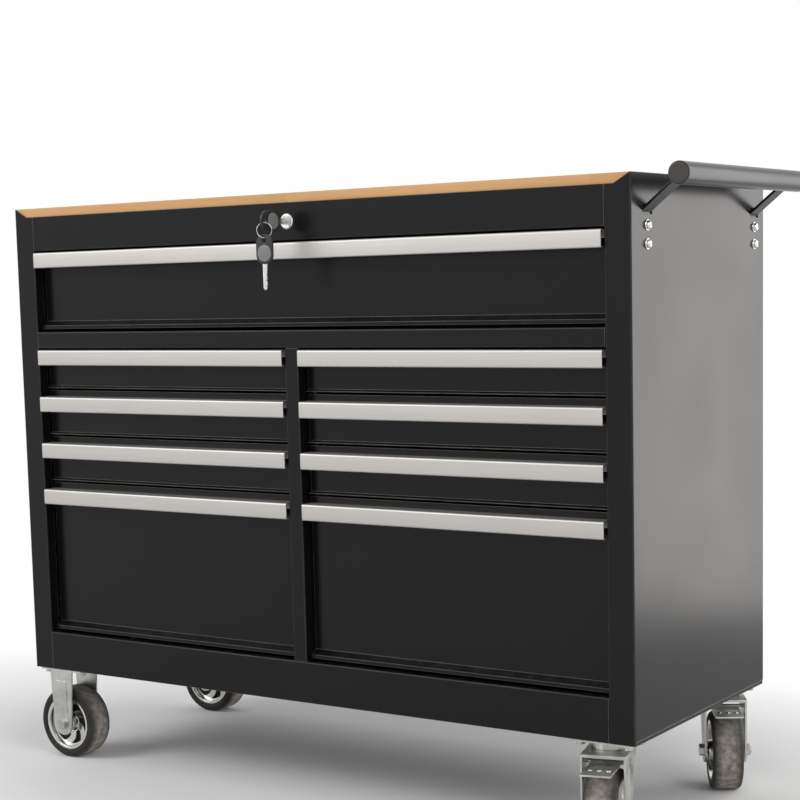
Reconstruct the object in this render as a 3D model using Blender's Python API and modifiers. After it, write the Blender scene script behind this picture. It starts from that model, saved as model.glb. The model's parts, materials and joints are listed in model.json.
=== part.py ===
"""A rolling tool box: a folded steel cabinet with an inset wood top, nine drawers on slides,
a tube handle on its right side, a lock with its keys, two fixed and two swivel casters.

The origin is on the floor below the middle of the cabinet. The front faces -Y, the handle is
on the +X side and +Z is up. All sizes are in metres.
"""

import math

import bmesh
import bpy
from mathutils import Matrix, Vector

# Cabinet
BODY_WIDTH = 1.168
BODY_DEPTH = 0.466
SHEET = 0.0015
GAP = 0.0003
STILE_WIDTH = 0.041
STILE_RETURN = 0.020
FOLD_RADIUS = 0.0022
REAR_FLANGE = 0.022
BASE_BAND = 0.006
BASE_BAND_INSET = 0.004
POST_WIDTH = 0.025
BOTTOM_RAIL_HEIGHT = 0.066
MIDDLE_RAIL_HEIGHT = 0.028
TOP_RAIL_HEIGHT = 0.058
RAIL_FLANGE = 0.018
WOOD_THICKNESS = 0.020
WOOD_REVEAL = 0.0145
WOOD_EDGE = 0.0012
CORNER_SLOPE = 0.025

# Drawer fronts, each measured from its bottom edge to the top of its pull
DEEP_FRONT = 0.248
WIDE_FRONT = 0.1302
ROW_PITCH = 0.0803
SHALLOW_ROWS = 3
PULL_GAP = 0.003
LIP_GAP = 0.005
ROW_GAP = 0.0043
UPSTAND = 0.010
FRONT_RECESS = 0.022
FRONT_END_GAP = 0.003
LIP_REACH = 0.011
LIP_HEIGHT = 0.0058
LIP_BEVEL = 0.0075
SHALLOW_LIP_REACH = 0.005
SHALLOW_LIP_HEIGHT = 0.0012
SHALLOW_LIP_BEVEL = 0.0028
LIP_RETURN = 0.006
PANEL = 0.0012

# Drawer trays and their slides
TRAY_WALL = 0.001
TRAY_REAR_ROOM = 0.0451
TRAY_FLOOR_RISE = 0.0025
SHALLOW_TRAY_HEIGHT = 0.056
DEEP_TRAY_HEIGHT = 0.222
WIDE_TRAY_HEIGHT = 0.100
SLIDE_RISE = 0.027
SLIDE_HEIGHT = 0.035
SLIDE_LIP = 0.0065
SLIDE_LENGTH = 0.360
SLIDE_START = 0.030
RUNNER_REACH = 0.0098
RUNNER_PLAY = 0.0004
OPENING_CLEARANCE = 0.0015
UPRIGHT_WIDTH = 0.026
UPRIGHT_END = 0.012

# Aluminium pulls
PULL_HEIGHT = 0.026
PULL_WALL = 0.0018
PULL_PROUD = 0.005
PULL_SEAT = 0.012
PULL_LIP = 0.006
PULL_TOP_RADIUS = 0.003
PULL_BOTTOM_RADIUS = 0.0022

# Handle on the right side
TUBE_RADIUS = 0.016
TUBE_WALL = 0.0018
TUBE_OFFSET = 0.060
TUBE_DROP = 0.0042
TUBE_OVERHANG = 0.027
ARM_INSET_FRONT = 0.051
ARM_INSET_REAR = 0.036
ARM_WIDTH = 0.030
ARM_THICKNESS = 0.004
ARM_BEND_DROP = 0.054
ARM_PLATE_LENGTH = 0.062
ARM_SLOT_HEIGHT = 0.014
ARM_SLOT_PLAY = 0.0006
CAP_RIM = 0.002
CAP_SET_IN = 0.001
CAP_SPIGOT = 0.014

# Casters
CASTER_HEIGHT = 0.161
CASTER_INSET_X = 0.056
CASTER_INSET_Y = 0.036
WHEEL_RADIUS = 0.0625
WHEEL_STEPS = 30
TYRE_WIDTH = 0.048
TYRE_THICKNESS = 0.0152
TYRE_SEAT_INSET = 0.0015
TYRE_SEAT_RISE = 0.004
TYRE_WALL_DROP = 0.005
TYRE_WALL_INSET = 0.0005
TYRE_SHOULDER_DROP = 0.0013
TYRE_SHOULDER_INSET = 0.0045
TYRE_TREAD_INSET = 0.011
RIM_THICKNESS = 0.0058
RIM_INSET = 0.001
SPOKES = 6
SPOKE_DEPTH = 0.028
SPOKE_WINDOW_SHARE = 0.66
SPOKE_SWIRL = 24.0
SPOKE_START = 4.5
HUB_LENGTH = 0.054
HUB_RADIUS = 0.0165
HUB_FLARE = 0.002
WINDOW_INNER_ROOM = 0.0035
WINDOW_OUTER_ROOM = 0.0015
AXLE_RADIUS = 0.006
AXLE_NUT_RADIUS = 0.0098
AXLE_NUT_HEIGHT = 0.007
FORK_SHEET = 0.003
FORK_INSIDE = 0.060
FORK_LEG_TOP = 0.051
FORK_LEG_END = 0.020
FORK_RIB_WIDTH = 0.022
FORK_RIB_PROUD = 0.0012
CASTER_PLATE_LENGTH = 0.092
CASTER_PLATE = 0.003
TRAIL = 0.038
RACE_RADIUS = 0.028
RACE_HEIGHT = 0.0095
CROWN = 0.004
KINGPIN_RADIUS = 0.0055
KINGPIN_HEAD_RADIUS = 0.0095
KINGPIN_HEAD = 0.005
FRONT_SWIVEL = 15.0
REAR_SWIVEL = 30.0

# Brake lever on each swivel caster
BRAKE_SHEET = 0.0025
BRAKE_CLEARANCE = 0.0065
BRAKE_SIDE_PLAY = 0.008
BRAKE_PIN_RADIUS = 0.003
BRAKE_PIVOT_ANGLE = -12.0
BRAKE_SHOE_ANGLE = 12.0
BRAKE_PEDAL_ANGLE = 47.0
BRAKE_PEDAL_RISE = 0.0386

# Lock and keys
LOCK_FACE_RADIUS = 0.012
LOCK_FACE = 0.0025
LOCK_RADIUS = 0.0095
PLUG_RADIUS = 0.007
CAM_LENGTH = 0.042
CAM_WIDTH = 0.012
CAM_THICKNESS = 0.0025
CAM_CLEARANCE = 0.001
KEY_BLADE_WIDTH = 0.008
KEY_BLADE_THICKNESS = 0.002
KEY_BLADE_INSIDE = 0.019
KEY_NECK = 0.0185
KEY_HEAD_LENGTH = 0.045
KEY_HEAD_WIDTH = 0.031
KEY_HEAD_THICKNESS = 0.0032
KEY_HEAD_RADIUS = 0.009
KEY_HOLE_RADIUS = 0.0045
KEY_HOLE_INSET = 0.0078
KEYWAY_PLAY = 0.0003
RING_RADIUS = 0.0115
RING_WIRE = 0.0008
RING_DROP = 0.0025
RING_TURN = 45.0

# Places that follow from the sizes
HALF = BODY_WIDTH / 2
FRONT = -BODY_DEPTH / 2
REAR = BODY_DEPTH / 2
OPENING = HALF - STILE_WIDTH
BASE = CASTER_HEIGHT
BOTTOM_RAIL_TOP = BASE + BOTTOM_RAIL_HEIGHT
DEEP_BOTTOM = BOTTOM_RAIL_TOP + LIP_GAP
DEEP_TOP = DEEP_BOTTOM + DEEP_FRONT
SHALLOW_FRONT = ROW_PITCH - UPSTAND - ROW_GAP
ROW_BOTTOMS = [DEEP_TOP + UPSTAND + ROW_GAP + i * ROW_PITCH for i in range(SHALLOW_ROWS)]
MIDDLE_RAIL_BOTTOM = ROW_BOTTOMS[-1] + SHALLOW_FRONT + PULL_GAP
MIDDLE_RAIL_TOP = MIDDLE_RAIL_BOTTOM + MIDDLE_RAIL_HEIGHT
WIDE_BOTTOM = MIDDLE_RAIL_TOP + LIP_GAP
TOP_RAIL_BOTTOM = WIDE_BOTTOM + WIDE_FRONT + PULL_GAP
TOP_RAIL_TOP = TOP_RAIL_BOTTOM + TOP_RAIL_HEIGHT
BODY_TOP = TOP_RAIL_TOP + WOOD_REVEAL
DECK_TOP = BODY_TOP - WOOD_THICKNESS - GAP
DECK_BOTTOM = DECK_TOP - SHEET
BACK_FACE = REAR - SHEET - GAP - SHEET
WALL_FACE = HALF - SHEET - GAP
FRONT_FACE = FRONT + FRONT_RECESS
TRAY_FRONT = FRONT_FACE + PANEL / 2
TRAY_REAR = BACK_FACE - TRAY_REAR_ROOM
OUTER_TIP = OPENING - OPENING_CLEARANCE
INNER_TIP = POST_WIDTH / 2 + GAP + SHEET + SHEET / 2 + RUNNER_PLAY
LOCK_HEIGHT = (TOP_RAIL_BOTTOM + TOP_RAIL_TOP) / 2
CAM_FACE = FRONT_FACE + PANEL + CAM_CLEARANCE
TUBE_X = HALF + TUBE_OFFSET
TUBE_HEIGHT = BODY_TOP - TUBE_DROP
ARM_FRONT = FRONT + ARM_INSET_FRONT
ARM_REAR = REAR - ARM_INSET_REAR
AXLE_DROP = CASTER_HEIGHT - WHEEL_RADIUS * math.cos(math.pi / WHEEL_STEPS)
CASTER_X = HALF - CASTER_INSET_X
CASTER_Y = BODY_DEPTH / 2 - CASTER_INSET_Y
RIM_RADIUS = WHEEL_RADIUS - TYRE_THICKNESS - GAP
FORK_OUTSIDE = FORK_INSIDE / 2 + FORK_SHEET
RING_PLACE = FRONT - LOCK_FACE - KEY_NECK - KEY_HEAD_LENGTH + KEY_HOLE_INSET

# How an outline's two directions and its thickness lie in space
PLANES = {
    "XY": Matrix(((1, 0, 0), (0, 1, 0), (0, 0, 1))).to_4x4(),
    "XZ": Matrix(((1, 0, 0), (0, 0, -1), (0, 1, 0))).to_4x4(),
    "YZ": Matrix(((0, 0, 1), (1, 0, 0), (0, 1, 0))).to_4x4(),
}
THIRD_AXIS = {"XY": "z", "XZ": "y", "YZ": "x"}
# Filling a curve merges points closer than about 0.00003, so outlines are drawn this much larger.
DRAWING_SCALE = 1000.0
WELD = 0.000001


def remove_all():
    for obj in list(bpy.data.objects):
        bpy.data.objects.remove(obj, do_unlink=True)


def mesh_of(obj):
    """The evaluated mesh of an object, welded and facing out. The object is removed."""
    bpy.context.scene.collection.objects.link(obj)
    bpy.context.view_layer.update()
    graph = bpy.context.evaluated_depsgraph_get()
    mesh = bpy.data.meshes.new_from_object(obj.evaluated_get(graph))
    bpy.data.objects.remove(obj, do_unlink=True)
    work = bmesh.new()
    work.from_mesh(mesh)
    bmesh.ops.remove_doubles(work, verts=work.verts, dist=WELD)
    bmesh.ops.recalc_face_normals(work, faces=work.faces)
    work.to_mesh(mesh)
    work.free()
    return mesh


def extruded(outlines, plane, start, end):
    """A flat outline, with any holes as further outlines, extruded from start to end."""
    curve = bpy.data.curves.new("outline", "CURVE")
    curve.dimensions = "2D"
    curve.fill_mode = "BOTH"
    curve.extrude = abs(end - start) / 2 * DRAWING_SCALE
    for outline in outlines:
        spline = curve.splines.new("POLY")
        spline.points.add(len(outline) - 1)
        for point, (u, v) in zip(spline.points, outline):
            point.co = (u * DRAWING_SCALE, v * DRAWING_SCALE, 0, 1)
        spline.use_cyclic_u = True
    mesh = mesh_of(bpy.data.objects.new("outline", curve))
    bpy.data.curves.remove(curve)
    shift = Vector((0, 0, 0))
    setattr(shift, THIRD_AXIS[plane], (start + end) / 2)
    mesh.transform(Matrix.Translation(shift) @ PLANES[plane] @ Matrix.Scale(1 / DRAWING_SCALE, 4))
    return mesh


def folded(path, thickness):
    """The closed outline of a sheet folded along a path, its thickness on the path's left."""
    points = [Vector(p) for p in path]
    offset = []
    for i, point in enumerate(points):
        steps = []
        if i:
            steps.append((point - points[i - 1]).normalized())
        if i + 1 < len(points):
            steps.append((points[i + 1] - point).normalized())
        normals = [Vector((-d.y, d.x)) for d in steps]
        bisector = sum(normals, Vector((0, 0))).normalized()
        offset.append(point + bisector * (thickness / bisector.dot(normals[0])))
    return [tuple(p) for p in points + offset[::-1]]


def polar(centre, radius, angle):
    """A point by its distance from a centre and its angle, in degrees from the first direction."""
    turn = math.radians(angle)
    return centre[0] + radius * math.cos(turn), centre[1] + radius * math.sin(turn)


def arc(centre, radius, first, last, steps):
    """Points on an arc between two angles."""
    return [polar(centre, radius, first + (last - first) * i / steps) for i in range(steps + 1)]


def eased(path, radius, steps=3):
    """A path with each of its folds rounded to a radius."""
    points = [Vector(p) for p in path]
    result = [path[0]]
    for before, corner, after in zip(points, points[1:], points[2:]):
        back = (before - corner).normalized()
        ahead = (after - corner).normalized()
        half_angle = math.acos(max(-1.0, min(1.0, back.dot(ahead)))) / 2
        reach = radius / math.tan(half_angle)
        centre = corner + (back + ahead).normalized() * (radius / math.sin(half_angle))
        start = corner + back * reach - centre
        end = corner + ahead * reach - centre
        for i in range(steps + 1):
            spoke = start.lerp(end, i / steps).normalized() * radius
            result.append(tuple(centre + spoke))
    result.append(path[-1])
    return result


def rectangle(low, high, radius=0.0, steps=4):
    """A rectangle's outline between two corners, rounded where a radius is given."""
    if not radius:
        return [low, (high[0], low[1]), high, (low[0], high[1])]
    inner = [
        (high[0] - radius, high[1] - radius, 0),
        (low[0] + radius, high[1] - radius, 90),
        (low[0] + radius, low[1] + radius, 180),
        (high[0] - radius, low[1] + radius, 270),
    ]
    points = []
    for x, y, turn in inner:
        points += arc((x, y), radius, turn, turn + 90, steps)
    return points


def box(low, high):
    """A box between two corners."""
    mesh = bpy.data.meshes.new("box")
    work = bmesh.new()
    bmesh.ops.create_cube(work, size=1)
    size = Vector(high) - Vector(low)
    bmesh.ops.scale(work, vec=size, verts=work.verts)
    bmesh.ops.translate(work, vec=(Vector(low) + Vector(high)) / 2, verts=work.verts)
    work.to_mesh(mesh)
    work.free()
    return mesh


def rod(radius, start, end, sides=20):
    """A round rod, or a prism of few sides, between two points."""
    mesh = bpy.data.meshes.new("rod")
    work = bmesh.new()
    along = Vector(end) - Vector(start)
    bmesh.ops.create_cone(
        work, cap_ends=True, segments=sides, radius1=radius, radius2=radius, depth=along.length
    )
    work.to_mesh(mesh)
    work.free()
    turn = along.to_track_quat("Z", "Y").to_matrix().to_4x4()
    mesh.transform(Matrix.Translation((Vector(start) + Vector(end)) / 2) @ turn)
    return mesh


def turned(profile, steps):
    """A closed profile of (radius, height) points turned round the Z axis."""
    mesh = bpy.data.meshes.new("profile")
    points = [(r, 0, z) for r, z in profile]
    edges = [(i, (i + 1) % len(points)) for i in range(len(points))]
    mesh.from_pydata(points, edges, [])
    obj = bpy.data.objects.new("profile", mesh)
    screw = obj.modifiers.new("turn", "SCREW")
    screw.steps = steps
    screw.render_steps = steps
    screw.use_merge_vertices = True
    screw.merge_threshold = WELD
    return mesh_of(obj)


def combine(operation, mesh, *tools):
    """A mesh joined with, or cut by, other meshes."""
    holder = bpy.data.objects.new("holder", mesh)
    helpers = []
    for tool in tools:
        helper = bpy.data.objects.new("tool", tool)
        bpy.context.scene.collection.objects.link(helper)
        modifier = holder.modifiers.new(operation.lower(), "BOOLEAN")
        modifier.operation = operation
        modifier.solver = "EXACT"
        modifier.object = helper
        helpers.append(helper)
    result = mesh_of(holder)
    for helper in helpers:
        bpy.data.objects.remove(helper, do_unlink=True)
    return result


def join(mesh, *others):
    return combine("UNION", mesh, *others)


def cut(mesh, *others):
    return combine("DIFFERENCE", mesh, *others)


def moved(mesh, matrix):
    copy = mesh.copy()
    copy.transform(matrix)
    return copy


def mirrored(points):
    """An outline on the other side of the cabinet's middle."""
    return [(-x, y) for x, y in points]


def finish(name, colour, roughness, metallic):
    material = bpy.data.materials.new(name)
    material.use_nodes = True
    shader = material.node_tree.nodes["Principled BSDF"]
    shader.inputs["Base Color"].default_value = (*colour, 1.0)
    shader.inputs["Roughness"].default_value = roughness
    shader.inputs["Metallic"].default_value = metallic
    return material


def add_part(name, mesh, material, origin=(0, 0, 0), parent=None, smooth=False):
    """One named piece, with its origin at a point of its own, in the frame of its parent."""
    mesh.name = name
    mesh.transform(Matrix.Translation(-Vector(origin)))
    mesh.materials.clear()
    mesh.materials.append(material)
    if smooth:
        mesh.shade_smooth()
        mesh.set_sharp_from_angle(angle=math.radians(35))
    obj = bpy.data.objects.new(name, mesh)
    obj.location = origin
    obj.parent = parent
    PARTS.objects.link(obj)
    return obj


remove_all()
PARTS = bpy.data.collections.new("rolling_tool_box")
bpy.context.scene.collection.children.link(PARTS)

BLACK_PAINT = finish("black_paint", (0.022, 0.021, 0.021), 0.32, 0.0)
ALUMINIUM = finish("brushed_aluminium", (0.55, 0.53, 0.51), 0.35, 1.0)
WOOD = finish("wood", (0.66, 0.38, 0.17), 0.55, 0.0)
ZINC = finish("zinc_plate", (0.55, 0.55, 0.52), 0.35, 1.0)
CHROME = finish("chromed_hub", (0.62, 0.61, 0.58), 0.2, 1.0)
TYRE = finish("tyre_rubber", (0.03, 0.028, 0.027), 0.75, 0.0)
BLACK_PLASTIC = finish("black_plastic", (0.02, 0.02, 0.02), 0.55, 0.0)
KEY_STEEL = finish("key_steel", (0.6, 0.6, 0.58), 0.3, 1.0)


def build_side_panel(name, side):
    """A side sheet with its front stile and rear flange folded on, and the sloped front corner."""
    path = [
        (-HALF + REAR_FLANGE, REAR),
        (-HALF, REAR),
        (-HALF, FRONT),
        (-OPENING, FRONT),
        (-OPENING, FRONT + STILE_RETURN),
    ]
    outline = folded(path[:2] + eased(path[1:], FOLD_RADIUS)[1:], SHEET)
    inside = -HALF + SHEET
    slope = [
        (inside, BODY_TOP),
        (inside + CORNER_SLOPE, TOP_RAIL_TOP),
        (-OPENING + SHEET, TOP_RAIL_TOP),
        (-OPENING + SHEET, BODY_TOP + SHEET),
        (inside, BODY_TOP + SHEET),
    ]
    band = rectangle((-HALF - SHEET, BASE - SHEET), (inside + GAP, BASE + BASE_BAND))
    if side > 0:
        outline, slope, band = mirrored(outline), mirrored(slope), mirrored(band)
    mesh = extruded([outline], "XY", BASE, BODY_TOP)
    corner = extruded([slope], "XZ", FRONT - SHEET, FRONT + 2 * SHEET)
    across = sorted((side * (OPENING - SHEET), side * (HALF - SHEET - GAP / 2)))
    return_top = box(
        (across[0], FRONT + SHEET + GAP, DECK_BOTTOM - GAP),
        (across[1], FRONT + STILE_RETURN + SHEET, BODY_TOP + SHEET),
    )
    base_slot = extruded([band], "XZ", FRONT + BASE_BAND_INSET, REAR + SHEET)
    mesh = cut(mesh, corner, return_top, base_slot)
    if side > 0:
        for y in (ARM_FRONT, ARM_REAR):
            half_slot = ARM_WIDTH / 2 + ARM_SLOT_PLAY
            middle = BODY_TOP - ARM_BEND_DROP + ARM_THICKNESS
            mesh = cut(
                mesh,
                box(
                    (HALF - 2 * SHEET, y - half_slot, middle - ARM_SLOT_HEIGHT / 2),
                    (HALF + SHEET, y + half_slot, middle + ARM_SLOT_HEIGHT / 2),
                ),
            )
    add_part(name, mesh, BLACK_PAINT)


def build_cabinet():
    """The fixed sheet-metal body and the wood top."""
    build_side_panel("side_panel_left", -1)
    build_side_panel("side_panel_right", 1)
    add_part(
        "back_panel",
        box((-WALL_FACE, BACK_FACE, BASE + SHEET + GAP), (WALL_FACE, BACK_FACE + SHEET, TOP_RAIL_TOP)),
        BLACK_PAINT,
    )
    rim = BASE + BASE_BAND - GAP
    pan_path = [(-HALF, rim), (-HALF, BASE), (HALF, BASE), (HALF, rim)]
    pan_rear = REAR - SHEET - GAP
    pan = extruded([folded(pan_path, SHEET)], "XZ", FRONT + STILE_RETURN + GAP, pan_rear)
    tab = box(
        (-OPENING + GAP, FRONT + SHEET + GAP, BASE), (OPENING - GAP, FRONT + 2 * STILE_RETURN, BASE + SHEET)
    )
    strips = []
    for side in (-1, 1):
        edges = sorted((side * HALF, side * (HALF - SHEET)))
        strips.append(
            box(
                (edges[0], FRONT + BASE_BAND_INSET + GAP, BASE),
                (edges[1], FRONT + 2 * STILE_RETURN, rim),
            )
        )
    add_part("floor_pan", join(pan, tab, *strips), BLACK_PAINT)
    add_part(
        "top_deck",
        box((-WALL_FACE, FRONT + SHEET + GAP, DECK_BOTTOM), (WALL_FACE, BACK_FACE - GAP, DECK_TOP)),
        BLACK_PAINT,
    )
    wood = box((-WALL_FACE, FRONT + SHEET + GAP, DECK_TOP + GAP), (WALL_FACE, BACK_FACE - GAP, BODY_TOP))
    top = add_part("wood_top", wood, WOOD)
    bevel = top.modifiers.new("eased_edges", "BEVEL")
    bevel.width = WOOD_EDGE
    bevel.segments = 2
    build_rails()


def build_rails():
    """The three rails across the front and the post between the two columns of drawers."""
    rail = OPENING - GAP
    flange = FRONT + RAIL_FLANGE
    top_path = [(FRONT, TOP_RAIL_TOP), (FRONT, TOP_RAIL_BOTTOM), (flange, TOP_RAIL_BOTTOM)]
    top = extruded([folded(eased(top_path, FOLD_RADIUS), SHEET)], "YZ", -rail, rail)
    lock_hole = rod(
        LOCK_RADIUS + GAP, (0, FRONT - SHEET, LOCK_HEIGHT), (0, FRONT + 2 * SHEET, LOCK_HEIGHT), 24
    )
    add_part("top_rail", cut(top, lock_hole), BLACK_PAINT)
    middle_path = [
        (flange, MIDDLE_RAIL_TOP),
        (FRONT, MIDDLE_RAIL_TOP),
        (FRONT, MIDDLE_RAIL_BOTTOM),
        (flange, MIDDLE_RAIL_BOTTOM),
    ]
    middle = extruded([folded(eased(middle_path, FOLD_RADIUS), SHEET)], "YZ", -rail, rail)
    add_part("middle_rail", middle, BLACK_PAINT)
    bottom_path = [(flange, BOTTOM_RAIL_TOP), (FRONT, BOTTOM_RAIL_TOP), (FRONT, BASE)]
    bottom = extruded([folded(eased(bottom_path, FOLD_RADIUS), SHEET)], "YZ", -rail, rail)
    add_part("bottom_rail", bottom, BLACK_PAINT)
    half = POST_WIDTH / 2
    post_path = [(half, BACK_FACE - GAP), (half, FRONT), (-half, FRONT), (-half, BACK_FACE - GAP)]
    post = extruded(
        [folded(eased(post_path[::-1], FOLD_RADIUS), SHEET)],
        "XY",
        BASE + SHEET + GAP,
        MIDDLE_RAIL_BOTTOM - GAP,
    )
    over_rail = box(
        (-POST_WIDTH, FRONT - SHEET, BASE), (POST_WIDTH, flange + GAP, BOTTOM_RAIL_TOP + GAP)
    )
    add_part("centre_partition", cut(post, over_rail), BLACK_PAINT)


def drawer_plan():
    """(name, left, right, front's bottom, pull's top, upstand, tray's height, lip) of each drawer.

    A lip is its (reach, height, bevel), and an upstand is how far the front goes on above its pull.
    """
    plain_lip = (LIP_REACH, LIP_HEIGHT, LIP_BEVEL)
    small_lip = (SHALLOW_LIP_REACH, SHALLOW_LIP_HEIGHT, SHALLOW_LIP_BEVEL)
    rows = [("bottom", DEEP_BOTTOM, DEEP_TOP, UPSTAND, DEEP_TRAY_HEIGHT, plain_lip)]
    for i, bottom in enumerate(ROW_BOTTOMS):
        upstand = UPSTAND if i + 1 < SHALLOW_ROWS else 0.0
        row = f"row_{SHALLOW_ROWS - i}"
        rows.append((row, bottom, bottom + SHALLOW_FRONT, upstand, SHALLOW_TRAY_HEIGHT, small_lip))
    plan = []
    near, far = POST_WIDTH / 2 + FRONT_END_GAP, OPENING - FRONT_END_GAP
    for row, *sizes in rows:
        plan.append((f"left_{row}", -far, -near, *sizes))
        plan.append((f"right_{row}", near, far, *sizes))
    wide_top = WIDE_BOTTOM + WIDE_FRONT
    plan.append(("top", -far, far, WIDE_BOTTOM, wide_top, 0.0, WIDE_TRAY_HEIGHT, plain_lip))
    return plan


def slide_height(bottom):
    """The middle of a drawer's slides, from the bottom of its front."""
    return bottom + TRAY_FLOOR_RISE + SLIDE_RISE


def runner_tips(left, right):
    """How far a drawer's two runners reach, on its left and right."""
    left_tip = -OUTER_TIP if left < -POST_WIDTH else INNER_TIP
    right_tip = OUTER_TIP if right > POST_WIDTH else -INNER_TIP
    return left_tip, right_tip


def build_drawer(name, left, right, bottom, top, upstand, tray_height, lip):
    """A tray with its folded front and slide runners, and the aluminium pull on the front."""
    lip_reach, lip_height, lip_bevel = lip
    lip_top = bottom + lip_height
    lip_face = FRONT_FACE - lip_reach
    front_path = [
        (FRONT_FACE, top + upstand),
        (FRONT_FACE, lip_top + lip_bevel),
        (lip_face, lip_top),
        (lip_face, bottom),
        (FRONT_FACE + LIP_RETURN, bottom),
    ]
    panel = extruded([folded(front_path, PANEL)], "YZ", left, right)
    left_tip, right_tip = runner_tips(left, right)
    tray_left, tray_right = left_tip + RUNNER_REACH, right_tip - RUNNER_REACH
    tray_floor = bottom + TRAY_FLOOR_RISE
    outside = box((tray_left, TRAY_FRONT, tray_floor), (tray_right, TRAY_REAR, tray_floor + tray_height))
    inside = box(
        (tray_left + TRAY_WALL, TRAY_FRONT + TRAY_WALL, tray_floor + TRAY_WALL),
        (tray_right - TRAY_WALL, TRAY_REAR - TRAY_WALL, tray_floor + tray_height + TRAY_WALL),
    )
    half_runner = SLIDE_HEIGHT / 2 - SHEET - GAP
    middle = slide_height(bottom)
    runner_start = FRONT + SLIDE_START
    runners = []
    for tip, wall in ((left_tip, tray_left + TRAY_WALL / 2), (right_tip, tray_right - TRAY_WALL / 2)):
        low, high = sorted((tip, wall))
        runners.append(
            box(
                (low, runner_start, middle - half_runner),
                (high, runner_start + SLIDE_LENGTH, middle + half_runner),
            )
        )
    tray = join(cut(outside, inside), panel, *runners)
    handle_point = ((left + right) / 2, FRONT_FACE, bottom)
    add_part(f"drawer_{name}_tray", tray, BLACK_PAINT, origin=handle_point)
    pull_face = FRONT - PULL_PROUD
    pull_bottom = top - PULL_HEIGHT
    crown = PULL_TOP_RADIUS
    chin = PULL_BOTTOM_RADIUS
    seat = FRONT_FACE - GAP
    pull_path = [(seat, top - PULL_SEAT), (seat, top)]
    pull_path += arc((pull_face + crown, top - crown), crown, 90, 180, 3)
    pull_path += arc((pull_face + chin, pull_bottom + chin), chin, 180, 270, 3)
    pull_path += [(pull_face + PULL_LIP, pull_bottom)]
    pull = extruded([folded(pull_path, PULL_WALL)], "YZ", left, right)
    add_part(f"drawer_{name}_pull", pull, ALUMINIUM, origin=handle_point)


def build_slides(name, tip, wall, heights):
    """The cabinet halves of the slides on one wall: channels on two folded uprights."""
    outward = 1 if wall > tip else -1
    web = tip + outward * RUNNER_PLAY
    web_back = web + outward * SHEET
    mouth = web - outward * SLIDE_LIP
    start, end = FRONT + SLIDE_START, FRONT + SLIDE_START + SLIDE_LENGTH
    channels = []
    for z in heights:
        low, high = z - SLIDE_HEIGHT / 2, z + SLIDE_HEIGHT / 2
        path = [(mouth, high), (web_back, high), (web_back, low), (mouth, low)]
        outline = folded(path if outward < 0 else path[::-1], SHEET)
        channels.append(extruded([outline], "XZ", start, end))
    foot, head = min(heights) - SLIDE_HEIGHT / 2, max(heights) + SLIDE_HEIGHT / 2
    uprights = []
    for y in (start + UPRIGHT_END, end - UPRIGHT_END - UPRIGHT_WIDTH):
        face = web_back - outward * SHEET / 2
        if abs(wall - face) < 2 * SHEET:
            low, high = sorted((face, wall))
            uprights.append(box((low, y, foot), (high, y + UPRIGHT_WIDTH, head)))
            continue
        path = [(face, y + UPRIGHT_WIDTH), (face, y), (wall, y), (wall, y + UPRIGHT_WIDTH)]
        outline = folded(path if outward > 0 else path[::-1], SHEET)
        uprights.append(extruded([outline], "XY", foot, head))
    add_part(name, join(channels[0], *channels[1:], *uprights), ZINC)


def build_all_slides():
    lower = [slide_height(z) for z in [DEEP_BOTTOM, *ROW_BOTTOMS]]
    upper = [slide_height(WIDE_BOTTOM)]
    post_face = POST_WIDTH / 2 + GAP
    build_slides("slides_left_outer", -OUTER_TIP, -WALL_FACE, lower)
    build_slides("slides_left_inner", -INNER_TIP, -post_face, lower)
    build_slides("slides_right_inner", INNER_TIP, post_face, lower)
    build_slides("slides_right_outer", OUTER_TIP, WALL_FACE, lower)
    build_slides("slide_top_left", -OUTER_TIP, -WALL_FACE, upper)
    build_slides("slide_top_right", OUTER_TIP, WALL_FACE, upper)


def build_handle():
    """A tube with two welded arms that pass through the side panel, and its two end caps."""
    bore = TUBE_RADIUS - TUBE_WALL
    start, end = ARM_FRONT - TUBE_OVERHANG, ARM_REAR + TUBE_OVERHANG
    half = (end - start) / 2
    tube = turned([(TUBE_RADIUS, half), (TUBE_RADIUS, -half), (bore, -half), (bore, half)], 28)
    along_y = Matrix.Rotation(math.radians(90), 4, "X")
    middle = (TUBE_X, (start + end) / 2, TUBE_HEIGHT)
    tube.transform(Matrix.Translation(middle) @ along_y)
    plate_x = HALF - SHEET - GAP
    bend = BODY_TOP - ARM_BEND_DROP
    toward = Vector((TUBE_X - plate_x, TUBE_HEIGHT - bend))
    reach = toward.length - TUBE_RADIUS + TUBE_WALL / 2
    weld_point = Vector((plate_x, bend)) + toward.normalized() * reach
    path = [(plate_x, bend - ARM_PLATE_LENGTH), (plate_x, bend), tuple(weld_point)]
    arms = []
    for y in (ARM_FRONT, ARM_REAR):
        arms.append(extruded([folded(path, ARM_THICKNESS)], "XZ", y - ARM_WIDTH / 2, y + ARM_WIDTH / 2))
    add_part("handle", join(tube, *arms), BLACK_PAINT, origin=middle, smooth=True)
    for name, y, way in (("handle_cap_front", start, -1), ("handle_cap_rear", end, 1)):
        spigot_end = (TUBE_X, y - way * CAP_SPIGOT, TUBE_HEIGHT)
        rim_middle = (TUBE_X, y + way * CAP_RIM / 2, TUBE_HEIGHT)
        rim_end = (TUBE_X, y + way * CAP_RIM, TUBE_HEIGHT)
        plug = rod(bore - GAP, spigot_end, rim_middle, 28)
        rim = rod(TUBE_RADIUS - CAP_SET_IN, (TUBE_X, y + way * GAP, TUBE_HEIGHT), rim_end, 28)
        add_part(name, join(rim, plug), BLACK_PLASTIC, smooth=True)


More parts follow.
